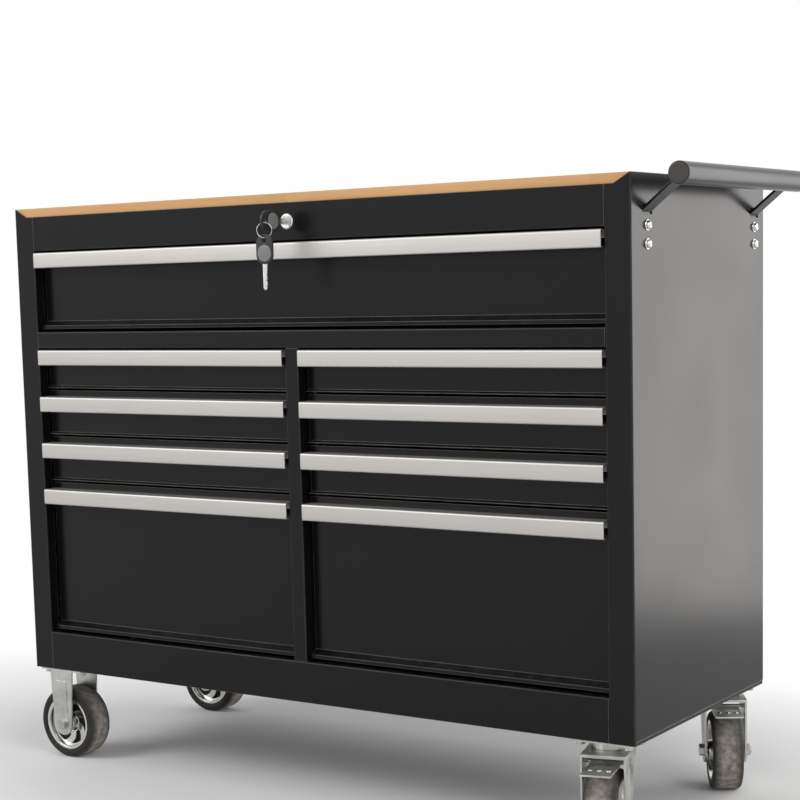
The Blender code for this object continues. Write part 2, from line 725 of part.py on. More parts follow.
def wheel_meshes():
    """The spoked hub and its tyre, turned round the local X axis."""
    rim_half = TYRE_WIDTH / 2 - RIM_INSET
    web = SPOKE_DEPTH / 2
    rim_inside = RIM_RADIUS - RIM_THICKNESS
    bore = AXLE_RADIUS + GAP
    half_profile = [
        (bore, HUB_LENGTH / 2),
        (HUB_RADIUS, HUB_LENGTH / 2),
        (HUB_RADIUS + HUB_FLARE, web),
        (rim_inside, web),
        (rim_inside + RIM_THICKNESS / 4, rim_half),
        (RIM_RADIUS, rim_half),
    ]
    hub = turned(half_profile + [(r, -z) for r, z in reversed(half_profile)], WHEEL_STEPS)
    inner, outer = HUB_RADIUS + WINDOW_INNER_ROOM, rim_inside - WINDOW_OUTER_ROOM
    sector = 360 / SPOKES
    windows = []
    for i in range(SPOKES):
        start = SPOKE_START + i * sector
        width = sector * SPOKE_WINDOW_SHARE
        steps = 3
        outline = arc((0, 0), inner, start, start + width, 2)
        for j in range(1, steps):
            share = j / steps
            radius = inner + (outer - inner) * share
            outline.append(polar((0, 0), radius, start + width + SPOKE_SWIRL * share))
        outline += arc((0, 0), outer, start + width + SPOKE_SWIRL, start + SPOKE_SWIRL, 4)
        for j in range(steps - 1, 0, -1):
            share = j / steps
            outline.append(polar((0, 0), inner + (outer - inner) * share, start + SPOKE_SWIRL * share))
        windows.append(extruded([outline], "XY", -HUB_LENGTH / 2, HUB_LENGTH / 2))
    hub = cut(hub, *windows)
    seat = WHEEL_RADIUS - TYRE_THICKNESS
    half = TYRE_WIDTH / 2
    half_tyre = [
        (seat, half - TYRE_SEAT_INSET),
        (seat + TYRE_SEAT_RISE, half),
        (WHEEL_RADIUS - TYRE_WALL_DROP, half - TYRE_WALL_INSET),
        (WHEEL_RADIUS - TYRE_SHOULDER_DROP, half - TYRE_SHOULDER_INSET),
        (WHEEL_RADIUS, half - TYRE_TREAD_INSET),
    ]
    tyre = turned(half_tyre + [(r, -z) for r, z in reversed(half_tyre)], WHEEL_STEPS)
    along_x = Matrix.Rotation(math.radians(90), 4, "Y")
    hub.transform(along_x)
    tyre.transform(along_x)
    return hub, tyre


def fork_leg(side, back_y, front_y, axle_y, top_z):
    """One leg of a fork, tapering from its top edge to a round end at the axle, with its rib."""
    outline = [(back_y, top_z), (front_y, top_z)]
    outline += arc((axle_y, -AXLE_DROP), FORK_LEG_END, 190, 350, 8)
    low, high = sorted((side * FORK_INSIDE / 2, side * FORK_OUTSIDE))
    leg = extruded([outline], "YZ", low, high)
    rib_root, rib_face = FORK_OUTSIDE - FORK_SHEET / 2, FORK_OUTSIDE + FORK_RIB_PROUD
    rib_low, rib_high = sorted((side * rib_root, side * rib_face))
    middle = (back_y + front_y + 2 * axle_y) / 4
    rib_top, rib_end = top_z - FORK_LEG_END, -AXLE_DROP + FORK_LEG_END
    rib = box(
        (rib_low, middle - FORK_RIB_WIDTH / 2, rib_end), (rib_high, middle + FORK_RIB_WIDTH / 2, rib_top)
    )
    return join(leg, rib)


def axle_mesh(y):
    """The axle bolt across a fork, with its head and nut."""
    reach = FORK_OUTSIDE + AXLE_NUT_HEIGHT
    bolt = rod(AXLE_RADIUS, (-reach + 0.001, y, -AXLE_DROP), (reach + 0.002, y, -AXLE_DROP), 16)
    ends = []
    for side in (-1, 1):
        inner, outer = side * (FORK_OUTSIDE - FORK_SHEET / 2), side * reach
        ends.append(rod(AXLE_NUT_RADIUS, (inner, y, -AXLE_DROP), (outer, y, -AXLE_DROP), 6))
    return join(bolt, *ends)


def mounting_plate():
    half_length = CASTER_PLATE_LENGTH / 2
    return box((-FORK_OUTSIDE, -half_length, -GAP - CASTER_PLATE), (FORK_OUTSIDE, half_length, -GAP))


def caster_frame(name, x, y, turn):
    """An empty on the caster's mounting face, turned to the way its wheel points."""
    empty = bpy.data.objects.new(name, None)
    empty.location = (x, y, BASE)
    empty.rotation_euler = (0, 0, math.radians(turn))
    PARTS.objects.link(empty)
    return empty


def build_wheel(name, frame, axle_y):
    hub, tyre = wheel_meshes()
    shift = Matrix.Translation((0, axle_y, -AXLE_DROP))
    hub.transform(shift)
    tyre.transform(shift)
    axle = (0, axle_y, -AXLE_DROP)
    add_part(f"{name}_hub", hub, CHROME, origin=axle, parent=frame, smooth=True)
    add_part(f"{name}_tyre", tyre, TYRE, origin=axle, parent=frame, smooth=True)


def build_fixed_caster(name, x, y):
    frame = caster_frame(f"{name}_frame", x, y, 90)
    half_leg = FORK_LEG_TOP / 2
    top = -GAP - CASTER_PLATE / 2
    legs = [fork_leg(side, half_leg, -half_leg, 0, top) for side in (-1, 1)]
    fork = join(mounting_plate(), *legs, axle_mesh(0))
    add_part(f"{name}_fork", fork, ZINC, parent=frame)
    build_wheel(name, frame, 0)


def build_swivel_caster(name, x, y, turn):
    frame = caster_frame(f"{name}_frame", x, y, turn)
    plate_bottom = -GAP - CASTER_PLATE
    race_bottom = plate_bottom - RACE_HEIGHT
    crown_top = race_bottom - GAP
    crown_bottom = crown_top - CROWN
    head_top = crown_bottom - GAP
    head_bottom = head_top - KINGPIN_HEAD
    race = rod(RACE_RADIUS, (0, 0, race_bottom), (0, 0, plate_bottom + CASTER_PLATE / 2), 28)
    pin = rod(KINGPIN_RADIUS, (0, 0, head_bottom), (0, 0, plate_bottom + CASTER_PLATE / 2), 16)
    head = rod(KINGPIN_HEAD_RADIUS, (0, 0, head_bottom), (0, 0, head_top), 6)
    square = Matrix.Rotation(math.radians(90 - turn), 4, "Z")
    plate = join(moved(mounting_plate(), square), race, pin, head)
    add_part(f"{name}_plate", plate, ZINC, parent=frame, smooth=True)
    back_y, front_y = FORK_LEG_TOP / 2, -TRAIL - FORK_LEG_END
    crown = box((-FORK_OUTSIDE, front_y, crown_bottom), (FORK_OUTSIDE, back_y, crown_top))
    ring = rod(RACE_RADIUS + CROWN / 2, (0, 0, crown_bottom), (0, 0, crown_top), 28)
    leg_top = crown_top - CROWN / 2
    legs = [fork_leg(side, back_y - CROWN, front_y, -TRAIL, leg_top) for side in (-1, 1)]
    fork = join(crown, ring, *legs, axle_mesh(-TRAIL))
    pin_hole = rod(KINGPIN_RADIUS + GAP, (0, 0, crown_bottom - CROWN), (0, 0, crown_top + CROWN), 16)
    pivot = brake_point(BRAKE_PIVOT_ANGLE, BRAKE_CLEARANCE + BRAKE_SHEET / 2)
    brake_hole = rod(
        BRAKE_PIN_RADIUS + GAP, (-2 * FORK_OUTSIDE, *pivot), (2 * FORK_OUTSIDE, *pivot), 16
    )
    add_part(f"{name}_fork", cut(fork, pin_hole, brake_hole), ZINC, parent=frame)
    build_wheel(name, frame, -TRAIL)
    build_brake(name, frame, pivot)


def brake_point(angle, rise):
    """A point over the tyre, by its angle from the top towards the pedal and its height."""
    turn = math.radians(angle)
    radius = WHEEL_RADIUS + rise
    return -TRAIL - radius * math.sin(turn), -AXLE_DROP + radius * math.cos(turn)


def build_brake(name, frame, pivot):
    """A bent lever: its pin, the shoe that follows the tyre, and the pedal that flares out."""
    steps = 5
    span = BRAKE_SHOE_ANGLE - BRAKE_PIVOT_ANGLE
    path = [brake_point(BRAKE_PIVOT_ANGLE + span * i / steps, BRAKE_CLEARANCE) for i in range(steps + 1)]
    path.append(brake_point(BRAKE_PEDAL_ANGLE, BRAKE_PEDAL_RISE))
    half = FORK_INSIDE / 2 - BRAKE_SIDE_PLAY
    lever = extruded([folded(path[::-1], BRAKE_SHEET)], "YZ", -half, half)
    pin_end = FORK_OUTSIDE + FORK_RIB_PROUD
    pin = rod(BRAKE_PIN_RADIUS, (-pin_end, *pivot), (pin_end, *pivot), 16)
    add_part(f"{name}_brake_pedal", join(lever, pin), ZINC, origin=(0, *pivot), parent=frame)


def build_casters():
    build_fixed_caster("caster_front_left", -CASTER_X, -CASTER_Y)
    build_fixed_caster("caster_rear_left", -CASTER_X, CASTER_Y)
    build_swivel_caster("caster_front_right", CASTER_X, -CASTER_Y, FRONT_SWIVEL)
    build_swivel_caster("caster_rear_right", CASTER_X, CASTER_Y, REAR_SWIVEL)


def key_mesh():
    """A key along +X from its head to its tip, flat in the XY plane, with the ring hole at the origin."""
    head_end = -KEY_HOLE_INSET
    neck = head_end + KEY_HEAD_LENGTH
    half = KEY_HEAD_WIDTH / 2
    head = extruded(
        [
            rectangle((head_end, -half), (neck, half), KEY_HEAD_RADIUS, 4),
            arc((0, 0), KEY_HOLE_RADIUS, 0, 345, 23),
        ],
        "XY",
        -KEY_HEAD_THICKNESS / 2,
        KEY_HEAD_THICKNESS / 2,
    )
    tip = neck + KEY_NECK + LOCK_FACE + KEY_BLADE_INSIDE
    edge = KEY_BLADE_WIDTH / 2
    blade_outline = [
        (neck - KEY_HEAD_RADIUS, -edge),
        (tip - edge, -edge),
        (tip, 0),
        (tip - edge, edge),
        (neck - KEY_HEAD_RADIUS, edge),
    ]
    blade = extruded([blade_outline], "XY", -KEY_BLADE_THICKNESS / 2, KEY_BLADE_THICKNESS / 2)
    return join(head, blade)


def build_lock():
    """The lock in the top rail, its key, and the spare key that hangs from the ring."""
    face = FRONT - LOCK_FACE - GAP
    barrel_end = CAM_FACE - GAP
    bore = PLUG_RADIUS + GAP
    profile = [
        (bore, FRONT - face),
        (LOCK_FACE_RADIUS, FRONT - face),
        (LOCK_FACE_RADIUS, GAP),
        (LOCK_RADIUS, GAP),
        (LOCK_RADIUS, FRONT - barrel_end),
        (bore, FRONT - barrel_end),
    ]
    axis = Matrix.Translation((0, FRONT, LOCK_HEIGHT)) @ Matrix.Rotation(math.radians(90), 4, "X")
    barrel = turned(profile, 24)
    barrel.transform(axis)
    add_part("lock_barrel", barrel, CHROME, smooth=True)
    centre = (0, FRONT, LOCK_HEIGHT)
    plug = rod(PLUG_RADIUS, (0, face + GAP, LOCK_HEIGHT), (0, CAM_FACE + CAM_THICKNESS, LOCK_HEIGHT), 20)
    cam = box(
        (-CAM_WIDTH / 2, CAM_FACE, LOCK_HEIGHT - CAM_WIDTH / 2),
        (CAM_LENGTH, CAM_FACE + CAM_THICKNESS, LOCK_HEIGHT + CAM_WIDTH / 2),
    )
    half_way = KEY_BLADE_WIDTH / 2 + KEYWAY_PLAY
    half_slot = KEY_BLADE_THICKNESS / 2 + KEYWAY_PLAY
    keyway = box(
        (-half_slot, face - LOCK_FACE, LOCK_HEIGHT - half_way),
        (half_slot, FRONT + KEY_BLADE_INSIDE + KEYWAY_PLAY, LOCK_HEIGHT + half_way),
    )
    add_part("lock_plug", cut(join(plug, cam), keyway), KEY_STEEL, origin=centre)
    upright = Matrix(((0, 0, 1, 0), (1, 0, 0, RING_PLACE), (0, 1, 0, LOCK_HEIGHT), (0, 0, 0, 1)))
    add_part("key", moved(key_mesh(), upright), BLACK_PLASTIC, origin=centre)
    ring_top = LOCK_HEIGHT - RING_DROP
    ring_centre = Vector((0, RING_PLACE, ring_top - RING_RADIUS))
    bpy.ops.mesh.primitive_torus_add(
        major_radius=RING_RADIUS, minor_radius=RING_WIRE, major_segments=24, minor_segments=6
    )
    torus = bpy.context.object
    ring = torus.data.copy()
    bpy.data.objects.remove(torus, do_unlink=True)
    stand = Matrix.Rotation(math.radians(RING_TURN), 4, "Z") @ Matrix.Rotation(math.radians(90), 4, "X")
    ring.transform(Matrix.Translation(ring_centre) @ stand)
    add_part("key_ring", ring, KEY_STEEL, origin=(0, RING_PLACE, ring_top), smooth=True)
    ring_bottom = ring_top - 2 * RING_RADIUS
    hole = ring_bottom - RING_DROP
    hanging = Matrix(((0, 1, 0, 0), (0, 0, -1, RING_PLACE), (-1, 0, 0, hole), (0, 0, 0, 1)))
    spare = moved(key_mesh(), hanging)
    add_part("spare_key", spare, BLACK_PLASTIC, origin=(0, RING_PLACE, ring_bottom))


build_cabinet()
for drawer in drawer_plan():
    build_drawer(*drawer)
build_all_slides()
build_handle()
build_casters()
build_lock()
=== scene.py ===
# %% [markdown]
# # Dressing a rolling tool box
# The solids of this tool box already exist: a folded steel cabinet, nine drawers on slides, a tube
# handle, a lock with its keys and four casters. This lesson gives them the looks of the real object:
# black enamel, brushed aluminium, wood, zinc plate, chrome and rubber. It also makes the round pieces
# again with smooth curves, because the solids are cut from flat facets. Every new piece rides on the
# body that carries it, so that it follows when a drawer opens or a wheel turns.

import json
import math

import bmesh
import bpy
from mathutils import Matrix, Vector


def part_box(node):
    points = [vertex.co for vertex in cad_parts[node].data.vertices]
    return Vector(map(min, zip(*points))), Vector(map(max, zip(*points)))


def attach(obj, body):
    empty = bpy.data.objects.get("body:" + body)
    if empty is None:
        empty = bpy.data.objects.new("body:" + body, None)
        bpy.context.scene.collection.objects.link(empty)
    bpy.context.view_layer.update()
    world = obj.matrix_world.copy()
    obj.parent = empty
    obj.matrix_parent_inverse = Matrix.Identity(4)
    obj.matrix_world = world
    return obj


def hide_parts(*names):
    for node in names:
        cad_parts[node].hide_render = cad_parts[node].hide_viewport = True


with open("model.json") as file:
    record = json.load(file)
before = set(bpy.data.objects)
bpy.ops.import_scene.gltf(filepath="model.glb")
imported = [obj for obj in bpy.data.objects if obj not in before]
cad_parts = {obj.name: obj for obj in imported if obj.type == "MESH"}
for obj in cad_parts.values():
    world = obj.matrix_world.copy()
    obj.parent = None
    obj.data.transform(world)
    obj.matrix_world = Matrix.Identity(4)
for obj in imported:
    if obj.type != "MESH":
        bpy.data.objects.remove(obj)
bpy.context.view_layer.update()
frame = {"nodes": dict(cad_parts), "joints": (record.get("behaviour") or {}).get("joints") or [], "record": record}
nodes = frame["nodes"]
joints = {joint["name"]: joint for joint in frame["joints"]}

# %% [markdown]
# ## The camera
# A photograph is matched by finding where its camera stood. Straight edges of the cabinet, whose real
# proportions are known, were fitted until they fell on the same pixels. The result is a place, a
# viewing direction, a focal length and a small shift, because the picture was cropped off centre.

# %% The photographer's camera
IMAGE_SIZE = 800.0
FOCAL_PIXELS = 1826.2
PICTURE_AXIS = (342.1, 501.6)
CAMERA_PLACE = Vector((1.703, -2.521, 0.825))
VIEW_DIRECTION = Vector((-0.5721, 0.8114, -0.1198)).normalized()
RIGHT_HINT = Vector((0.8189, 0.5733, -0.0273))

lens_data = bpy.data.cameras.new("photographer")
camera = bpy.data.objects.new("photographer", lens_data)
bpy.context.scene.collection.objects.link(camera)
up = RIGHT_HINT.cross(VIEW_DIRECTION).normalized()
right = VIEW_DIRECTION.cross(up).normalized()
turn = Matrix((right, up, -VIEW_DIRECTION)).transposed().to_4x4()
camera.matrix_world = Matrix.Translation(CAMERA_PLACE) @ turn
lens_data.sensor_width = 36.0
lens_data.lens = lens_data.sensor_width * FOCAL_PIXELS / IMAGE_SIZE
lens_data.shift_x = 0.5 - PICTURE_AXIS[0] / IMAGE_SIZE
lens_data.shift_y = PICTURE_AXIS[1] / IMAGE_SIZE - 0.5
bpy.context.scene.camera = camera
bpy.context.scene.view_settings.view_transform = "Standard"
shift = (round(lens_data.shift_x, 4), round(lens_data.shift_y, 4))
print("lens:", round(lens_data.lens, 2), "shift:", shift)

# %% [markdown]
# ## Small tools for meshes and shader nodes
# The same few moves come back all through the lesson, so they are written once: add a mesh to the
# scene, turn a profile on a lathe, thicken an outline with soft edges, and place a shader node with
# its sockets filled in one call.

# %% Mesh tools
def add_object(name, mesh, material, body, matrix=None, smooth_angle=35.0):
    """A new piece with one material, which rides on a body."""
    mesh.name = name
    mesh.materials.clear()
    mesh.materials.append(material)
    mesh.shade_smooth()
    mesh.set_sharp_from_angle(angle=math.radians(smooth_angle))
    piece = bpy.data.objects.new(name, mesh)
    bpy.context.scene.collection.objects.link(piece)
    if matrix is not None:
        piece.matrix_world = matrix
    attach(piece, body)
    return piece


def lathe(profile, steps=64, closed=False):
    """A mesh turned round the X axis from (along, radius) points."""
    work = bmesh.new()
    verts = [work.verts.new((along, 0.0, radius)) for along, radius in profile]
    edges = [work.edges.new(pair) for pair in zip(verts, verts[1:])]
    if closed:
        edges.append(work.edges.new((verts[-1], verts[0])))
    bmesh.ops.spin(
        work, geom=verts + edges, axis=(1, 0, 0), cent=(0, 0, 0), angle=math.tau, steps=steps, use_merge=True
    )
    bmesh.ops.remove_doubles(work, verts=work.verts, dist=0.000005)
    bmesh.ops.recalc_face_normals(work, faces=work.faces)
    mesh = bpy.data.meshes.new("turned")
    work.to_mesh(mesh)
    work.free()
    return mesh


def baked(obj):
    """The mesh of an object with its modifiers or curve settings applied. The object is removed."""
    bpy.context.scene.collection.objects.link(obj)
    bpy.context.view_layer.update()
    graph = bpy.context.evaluated_depsgraph_get()
    mesh = bpy.data.meshes.new_from_object(obj.evaluated_get(graph))
    bpy.data.objects.remove(obj, do_unlink=True)
    work = bmesh.new()
    work.from_mesh(mesh)
    bmesh.ops.remove_doubles(work, verts=work.verts, dist=0.000002)
    bmesh.ops.recalc_face_normals(work, faces=work.faces)
    work.to_mesh(mesh)
    work.free()
    return mesh


DRAWING_SCALE = 1000.0


def plate(outlines, thickness):
    """A flat plate from (x, y) outlines, the first with holes in it, centred on its thickness."""
    curve = bpy.data.curves.new("plate", "CURVE")
    curve.dimensions = "2D"
    curve.fill_mode = "BOTH"
    curve.extrude = thickness / 2 * DRAWING_SCALE
    for outline in outlines:
        spline = curve.splines.new("POLY")
        spline.points.add(len(outline) - 1)
        for point, (x, y) in zip(spline.points, outline):
            point.co = (x * DRAWING_SCALE, y * DRAWING_SCALE, 0, 1)
        spline.use_cyclic_u = True
    mesh = baked(bpy.data.objects.new("plate", curve))
    mesh.transform(Matrix.Scale(1 / DRAWING_SCALE, 4))
    return mesh


def wire(points, radius, resolution=3, swells=None):
    """A round wire or bead along points, thicker or thinner at each point where swells are given."""
    curve = bpy.data.curves.new("wire", "CURVE")
    curve.dimensions = "3D"
    curve.bevel_depth = radius
    curve.bevel_resolution = resolution
    curve.use_fill_caps = True
    spline = curve.splines.new("POLY")
    spline.points.add(len(points) - 1)
    for point, place in zip(spline.points, points):
        point.co = (*place, 1)
    for point, swell in zip(spline.points, swells or ()):
        point.radius = swell
    return baked(bpy.data.objects.new("wire", curve))


def polar(radius, angle, centre=(0.0, 0.0)):
    turned = math.radians(angle)
    return centre[0] + radius * math.cos(turned), centre[1] + radius * math.sin(turned)


def arc(radius, first, last, steps, centre=(0.0, 0.0)):
    return [polar(radius, first + (last - first) * i / steps, centre) for i in range(steps + 1)]


def merged(*meshes):
    """Several meshes in one."""
    work = bmesh.new()
    for mesh in meshes:
        work.from_mesh(mesh)
    result = bpy.data.meshes.new("merged")
    work.to_mesh(result)
    work.free()
    return result


def moved(mesh, matrix):
    copy = mesh.copy()
    copy.transform(matrix)
    return copy


# %% Shader tools
def fill(tree, socket, value):
    """Link a value that comes out of another node, or set a plain one."""
    if isinstance(value, bpy.types.NodeSocket):
        tree.links.new(value, socket)
    else:
        socket.default_value = value


def add_node(tree, kind, sockets=None, **settings):
    """A shader node with its settings made and its sockets set or linked."""
    made = tree.nodes.new(kind)
    for key, value in settings.items():
        setattr(made, key, value)
    for name, value in (sockets or {}).items():
        fill(tree, made.inputs[name], value)
    return made


def new_group(name, inputs, outputs):
    """A shader node group with float inputs (name: default) and named outputs."""
    tree = bpy.data.node_groups.new(name, "ShaderNodeTree")
    for label, default in inputs.items():
        socket = tree.interface.new_socket(name=label, in_out="INPUT", socket_type="NodeSocketFloat")
        socket.default_value = default
    for label, kind in outputs.items():
        tree.interface.new_socket(name=label, in_out="OUTPUT", socket_type=kind)
    return tree, tree.nodes.new("NodeGroupInput").outputs, tree.nodes.new("NodeGroupOutput").inputs


def use_group(tree, group, **sockets):
    """The outputs of a group placed in a material, with its inputs set by name."""
    made = tree.nodes.new("ShaderNodeGroup")
    made.node_tree = group
    for name, value in sockets.items():
        fill(tree, made.inputs[name], value)
    return made.outputs


def new_material(name, constants):
    """A material with its Principled shader's plain numbers set by socket name."""
    material = bpy.data.materials.new(name)
    material.use_nodes = True
    tree = material.node_tree
    shader = tree.nodes["Principled BSDF"]
    for key, value in constants.items():
        shader.inputs[key].default_value = value
    return material, tree, shader.inputs


def link(tree, output, socket):
    tree.links.new(output, socket)


def math_node(tree, operation, a, b=0.0, clamp=False):
    made = tree.nodes.new("ShaderNodeMath")
    made.operation = operation
    made.use_clamp = clamp
    for socket, value in zip(made.inputs, (a, b)):
        fill(tree, socket, value)
    return made.outputs[0]


def ramp(tree, value, low, high, to_low=0.0, to_high=1.0):
    """A value stretched from one range to another, and held at the ends."""
    sockets = {"Value": value, "From Min": low, "From Max": high, "To Min": to_low, "To Max": to_high}
    return add_node(tree, "ShaderNodeMapRange", sockets).outputs["Result"]


def mix_colour(tree, factor, first, second):
    made = tree.nodes.new("ShaderNodeMix")
    made.data_type = "RGBA"
    fill(tree, made.inputs[0], factor)
    for socket, value in ((made.inputs[6], first), (made.inputs[7], second)):
        fill(tree, socket, (*value, 1.0) if isinstance(value, tuple) else value)
    return made.outputs[2]


def object_place(tree, scale=(1.0, 1.0, 1.0)):
    """Where a point is on its own piece, stretched by a scale on each axis."""
    place = tree.nodes.new("ShaderNodeTexCoord").outputs["Object"]
    return add_node(tree, "ShaderNodeMapping", {"Vector": place, "Scale": scale}).outputs[0]


def noise(tree, place, scale, detail=2.0, distortion=0.0):
    """A cloud of values between 0 and 1 over a place."""
    sockets = {"Vector": place, "Scale": scale, "Detail": detail, "Distortion": distortion}
    return add_node(tree, "ShaderNodeTexNoise", sockets).outputs["Fac"]


print("tools ready")

# %% [markdown]
# ## The studio
# The object stands on a plain pale floor in front of a white background. The world is white to the
# camera and to reflections, and a little dimmer as a light, so that colours render about as they are
# written. Three soft lamps shape it: one high in front on the left, one from the right, and a tall
# one behind on the right, which the glossy side sheet mirrors towards the camera.

# %% World and lamps
world = bpy.data.worlds.new("studio")
bpy.context.scene.world = world
world.use_nodes = True
sky = world.node_tree
sky.nodes.clear()
path = sky.nodes.new("ShaderNodeLightPath").outputs
seen = math_node(sky, "MAXIMUM", path["Is Camera Ray"], path["Is Glossy Ray"])
seen = math_node(sky, "MAXIMUM", seen, path["Is Transmission Ray"])
DAYLIGHT = 0.55
strength = ramp(sky, seen, 0.0, 1.0, DAYLIGHT, 1.0)
background = add_node(sky, "ShaderNodeBackground", {"Color": (1.0, 1.0, 1.0, 1.0), "Strength": strength})
link(sky, background.outputs[0], sky.nodes.new("ShaderNodeOutputWorld").inputs["Surface"])


def add_lamp(name, place, target, width, height, power, colour=(1.0, 1.0, 1.0), spread=180.0):
    lamp = bpy.data.lights.new(name, "AREA")
    lamp.shape = "RECTANGLE"
    lamp.size = width
    lamp.size_y = height
    lamp.energy = power
    lamp.color = colour
    lamp.spread = math.radians(spread)
    holder = bpy.data.objects.new(name, lamp)
    aim = (Vector(target) - Vector(place)).to_track_quat("-Z", "Y").to_matrix().to_4x4()
    holder.matrix_world = Matrix.Translation(place) @ aim
    holder.visible_camera = False
    bpy.context.scene.collection.objects.link(holder)


add_lamp("front_left_lamp", (-2.6, -3.2, 3.0), (0.0, 0.0, 0.5), 2.4, 1.8, 75.0)
add_lamp("right_lamp", (3.6, -1.4, 2.2), (0.4, 0.0, 0.6), 1.6, 1.6, 35.0)
WINDOW_PLACE = (1.732, 1.306, 1.06)
WINDOW_TARGET = (1.052, -0.194, 1.06)
WINDOW_TINT = (1.0, 0.97, 0.95)
add_lamp("window_lamp", WINDOW_PLACE, WINDOW_TARGET, 1.45, 2.1, 11.6, WINDOW_TINT, 120.0)
print("lamps:", [light.name for light in bpy.data.lights])

# %% The floor
FLOOR_RADIUS = 14.0
SHADOW_ROOM = 0.75
FADE_END = 1.5
FADE_STRETCH = 1.6
MIRROR_FADE_END = 6.0
floor_mesh = lathe([(0.0, 0.0), (0.0, SHADOW_ROOM), (0.0, FADE_END), (0.0, FLOOR_RADIUS)], steps=64)
floor_mesh.transform(Matrix.Rotation(math.radians(90.0), 4, "Y"))
floor = bpy.data.objects.new("floor", floor_mesh)
bpy.context.scene.collection.objects.link(floor)
floor_material, tree, shader = new_material("pale_floor", {"Roughness": 0.9, "Specular IOR Level": 0.0})
cloud = noise(tree, object_place(tree), 2.0, 4.0)
pale_tone = mix_colour(tree, cloud, (0.90, 0.90, 0.90), (0.93, 0.93, 0.93))
link(tree, pale_tone, shader["Base Color"])
oval_place = object_place(tree, (1.0, FADE_STRETCH, 1.0))
reach = add_node(tree, "ShaderNodeVectorMath", {0: oval_place}, operation="LENGTH").outputs["Value"]
path = tree.nodes.new("ShaderNodeLightPath").outputs
straight = math_node(tree, "MAXIMUM", path["Is Camera Ray"], path["Is Transmission Ray"])
straight = math_node(tree, "MULTIPLY", straight, ramp(tree, reach, SHADOW_ROOM, FADE_END))
far_part = ramp(tree, reach, FADE_END, MIRROR_FADE_END)
mirrored_part = math_node(tree, "MULTIPLY", path["Is Glossy Ray"], far_part)
whitening = math_node(tree, "MAXIMUM", straight, mirrored_part)
white = add_node(tree, "ShaderNodeEmission", {"Color": (1.0, 1.0, 1.0, 1.0), "Strength": 1.0}).outputs[0]
lit = tree.nodes["Principled BSDF"].outputs[0]
floor_mix = add_node(tree, "ShaderNodeMixShader", {0: whitening, 1: lit, 2: white})
link(tree, floor_mix.outputs[0], tree.nodes["Material Output"].inputs["Surface"])
floor_mesh.materials.append(floor_material)
print("floor radius:", FLOOR_RADIUS)

# %% [markdown]
# ## Effects that several finishes share
# Real finishes differ in colour, but the same small things happen to all of them: edges get worn and
# catch light, and both are painted in as one lighter colour along the edges, so that colour is partly a
# painted highlight; hands leave marks that change the gloss, dust settles on what faces up, and a fine
# grain breaks up reflections. Each effect is a node group that puts out a mask or a height. A
# material places it with its own numbers.

# %% Shared node groups
FLOAT = "NodeSocketFloat"
VECTOR = "NodeSocketVector"

# The edge mask marks worn edges, and the lighter colour mixed in along it is also a painted highlight where edges
# catch light.
wear_and_highlight_inputs = {"Radius": 0.001, "Spread": 1.0, "Patches": 60.0}
edge_wear_and_highlight, given, out = new_group("Edge Wear And Highlight", wear_and_highlight_inputs, {"Mask": FLOAT})
rounded = add_node(edge_wear_and_highlight, "ShaderNodeBevel", {"Radius": given["Radius"]}, samples=6).outputs[0]
flat = edge_wear_and_highlight.nodes.new("ShaderNodeNewGeometry").outputs["Normal"]
turn_between = add_node(edge_wear_and_highlight, "ShaderNodeVectorMath", {0: rounded, 1: flat}, operation="DOT_PRODUCT")
bend = math_node(edge_wear_and_highlight, "SUBTRACT", 1.0, turn_between.outputs["Value"])
cloud = noise(edge_wear_and_highlight, object_place(edge_wear_and_highlight), given["Patches"], 5.0)
patches = ramp(edge_wear_and_highlight, cloud, 0.25, 0.75, 0.25, 1.0)
amount = math_node(edge_wear_and_highlight, "MULTIPLY", math_node(edge_wear_and_highlight, "MULTIPLY", bend, patches), 5.0)
link(edge_wear_and_highlight, math_node(edge_wear_and_highlight, "MULTIPLY", amount, given["Spread"], clamp=True), out["Mask"])

soft_edge, given, out = new_group("Soft Edge", {"Radius": 0.001}, {"Normal": VECTOR})
rounded = add_node(soft_edge, "ShaderNodeBevel", {"Radius": given["Radius"]}, samples=6).outputs[0]
link(soft_edge, rounded, out["Normal"])

hand_marks, given, out = new_group("Hand Marks", {"Scale": 5.0, "Contrast": 1.0}, {"Mask": FLOAT})
broad = noise(hand_marks, object_place(hand_marks), given["Scale"], 3.0, 0.2)
centred = math_node(hand_marks, "MULTIPLY", math_node(hand_marks, "SUBTRACT", broad, 0.5), given["Contrast"])
link(hand_marks, math_node(hand_marks, "ADD", centred, 0.5, clamp=True), out["Mask"])

settled_dust, given, out = new_group("Settled Dust", {"Scale": 40.0, "Amount": 0.5}, {"Mask": FLOAT})
facing = settled_dust.nodes.new("ShaderNodeNewGeometry").outputs["Normal"]
upward = add_node(settled_dust, "ShaderNodeSeparateXYZ", {0: facing}).outputs["Z"]
level = ramp(settled_dust, upward, 0.35, 0.95)
speckle = noise(settled_dust, object_place(settled_dust), given["Scale"], 8.0)
grains = math_node(settled_dust, "MULTIPLY", level, ramp(settled_dust, speckle, 0.42, 0.72))
settled = math_node(settled_dust, "MULTIPLY", grains, given["Amount"], clamp=True)
link(settled_dust, settled, out["Mask"])

fine_grain, given, out = new_group("Fine Grain", {"Scale": 900.0, "Softness": 2.0}, {"Height": FLOAT})
pebbles = noise(fine_grain, object_place(fine_grain), given["Scale"], given["Softness"])
link(fine_grain, pebbles, out["Height"])

brush_lines, given, out = new_group("Brush Lines", {"Along": 3.0, "Across": 700.0}, {"Value": FLOAT})
stretched = {"X": given["Along"], "Y": given["Across"], "Z": given["Across"]}
stretch = add_node(brush_lines, "ShaderNodeCombineXYZ", stretched).outputs[0]
place = object_place(brush_lines)
lines_at = add_node(brush_lines, "ShaderNodeVectorMath", {0: place, 1: stretch}, operation="MULTIPLY")
link(brush_lines, noise(brush_lines, lines_at.outputs[0], 1.0, 4.0), out["Value"])
print("groups:", [group.name for group in bpy.data.node_groups])
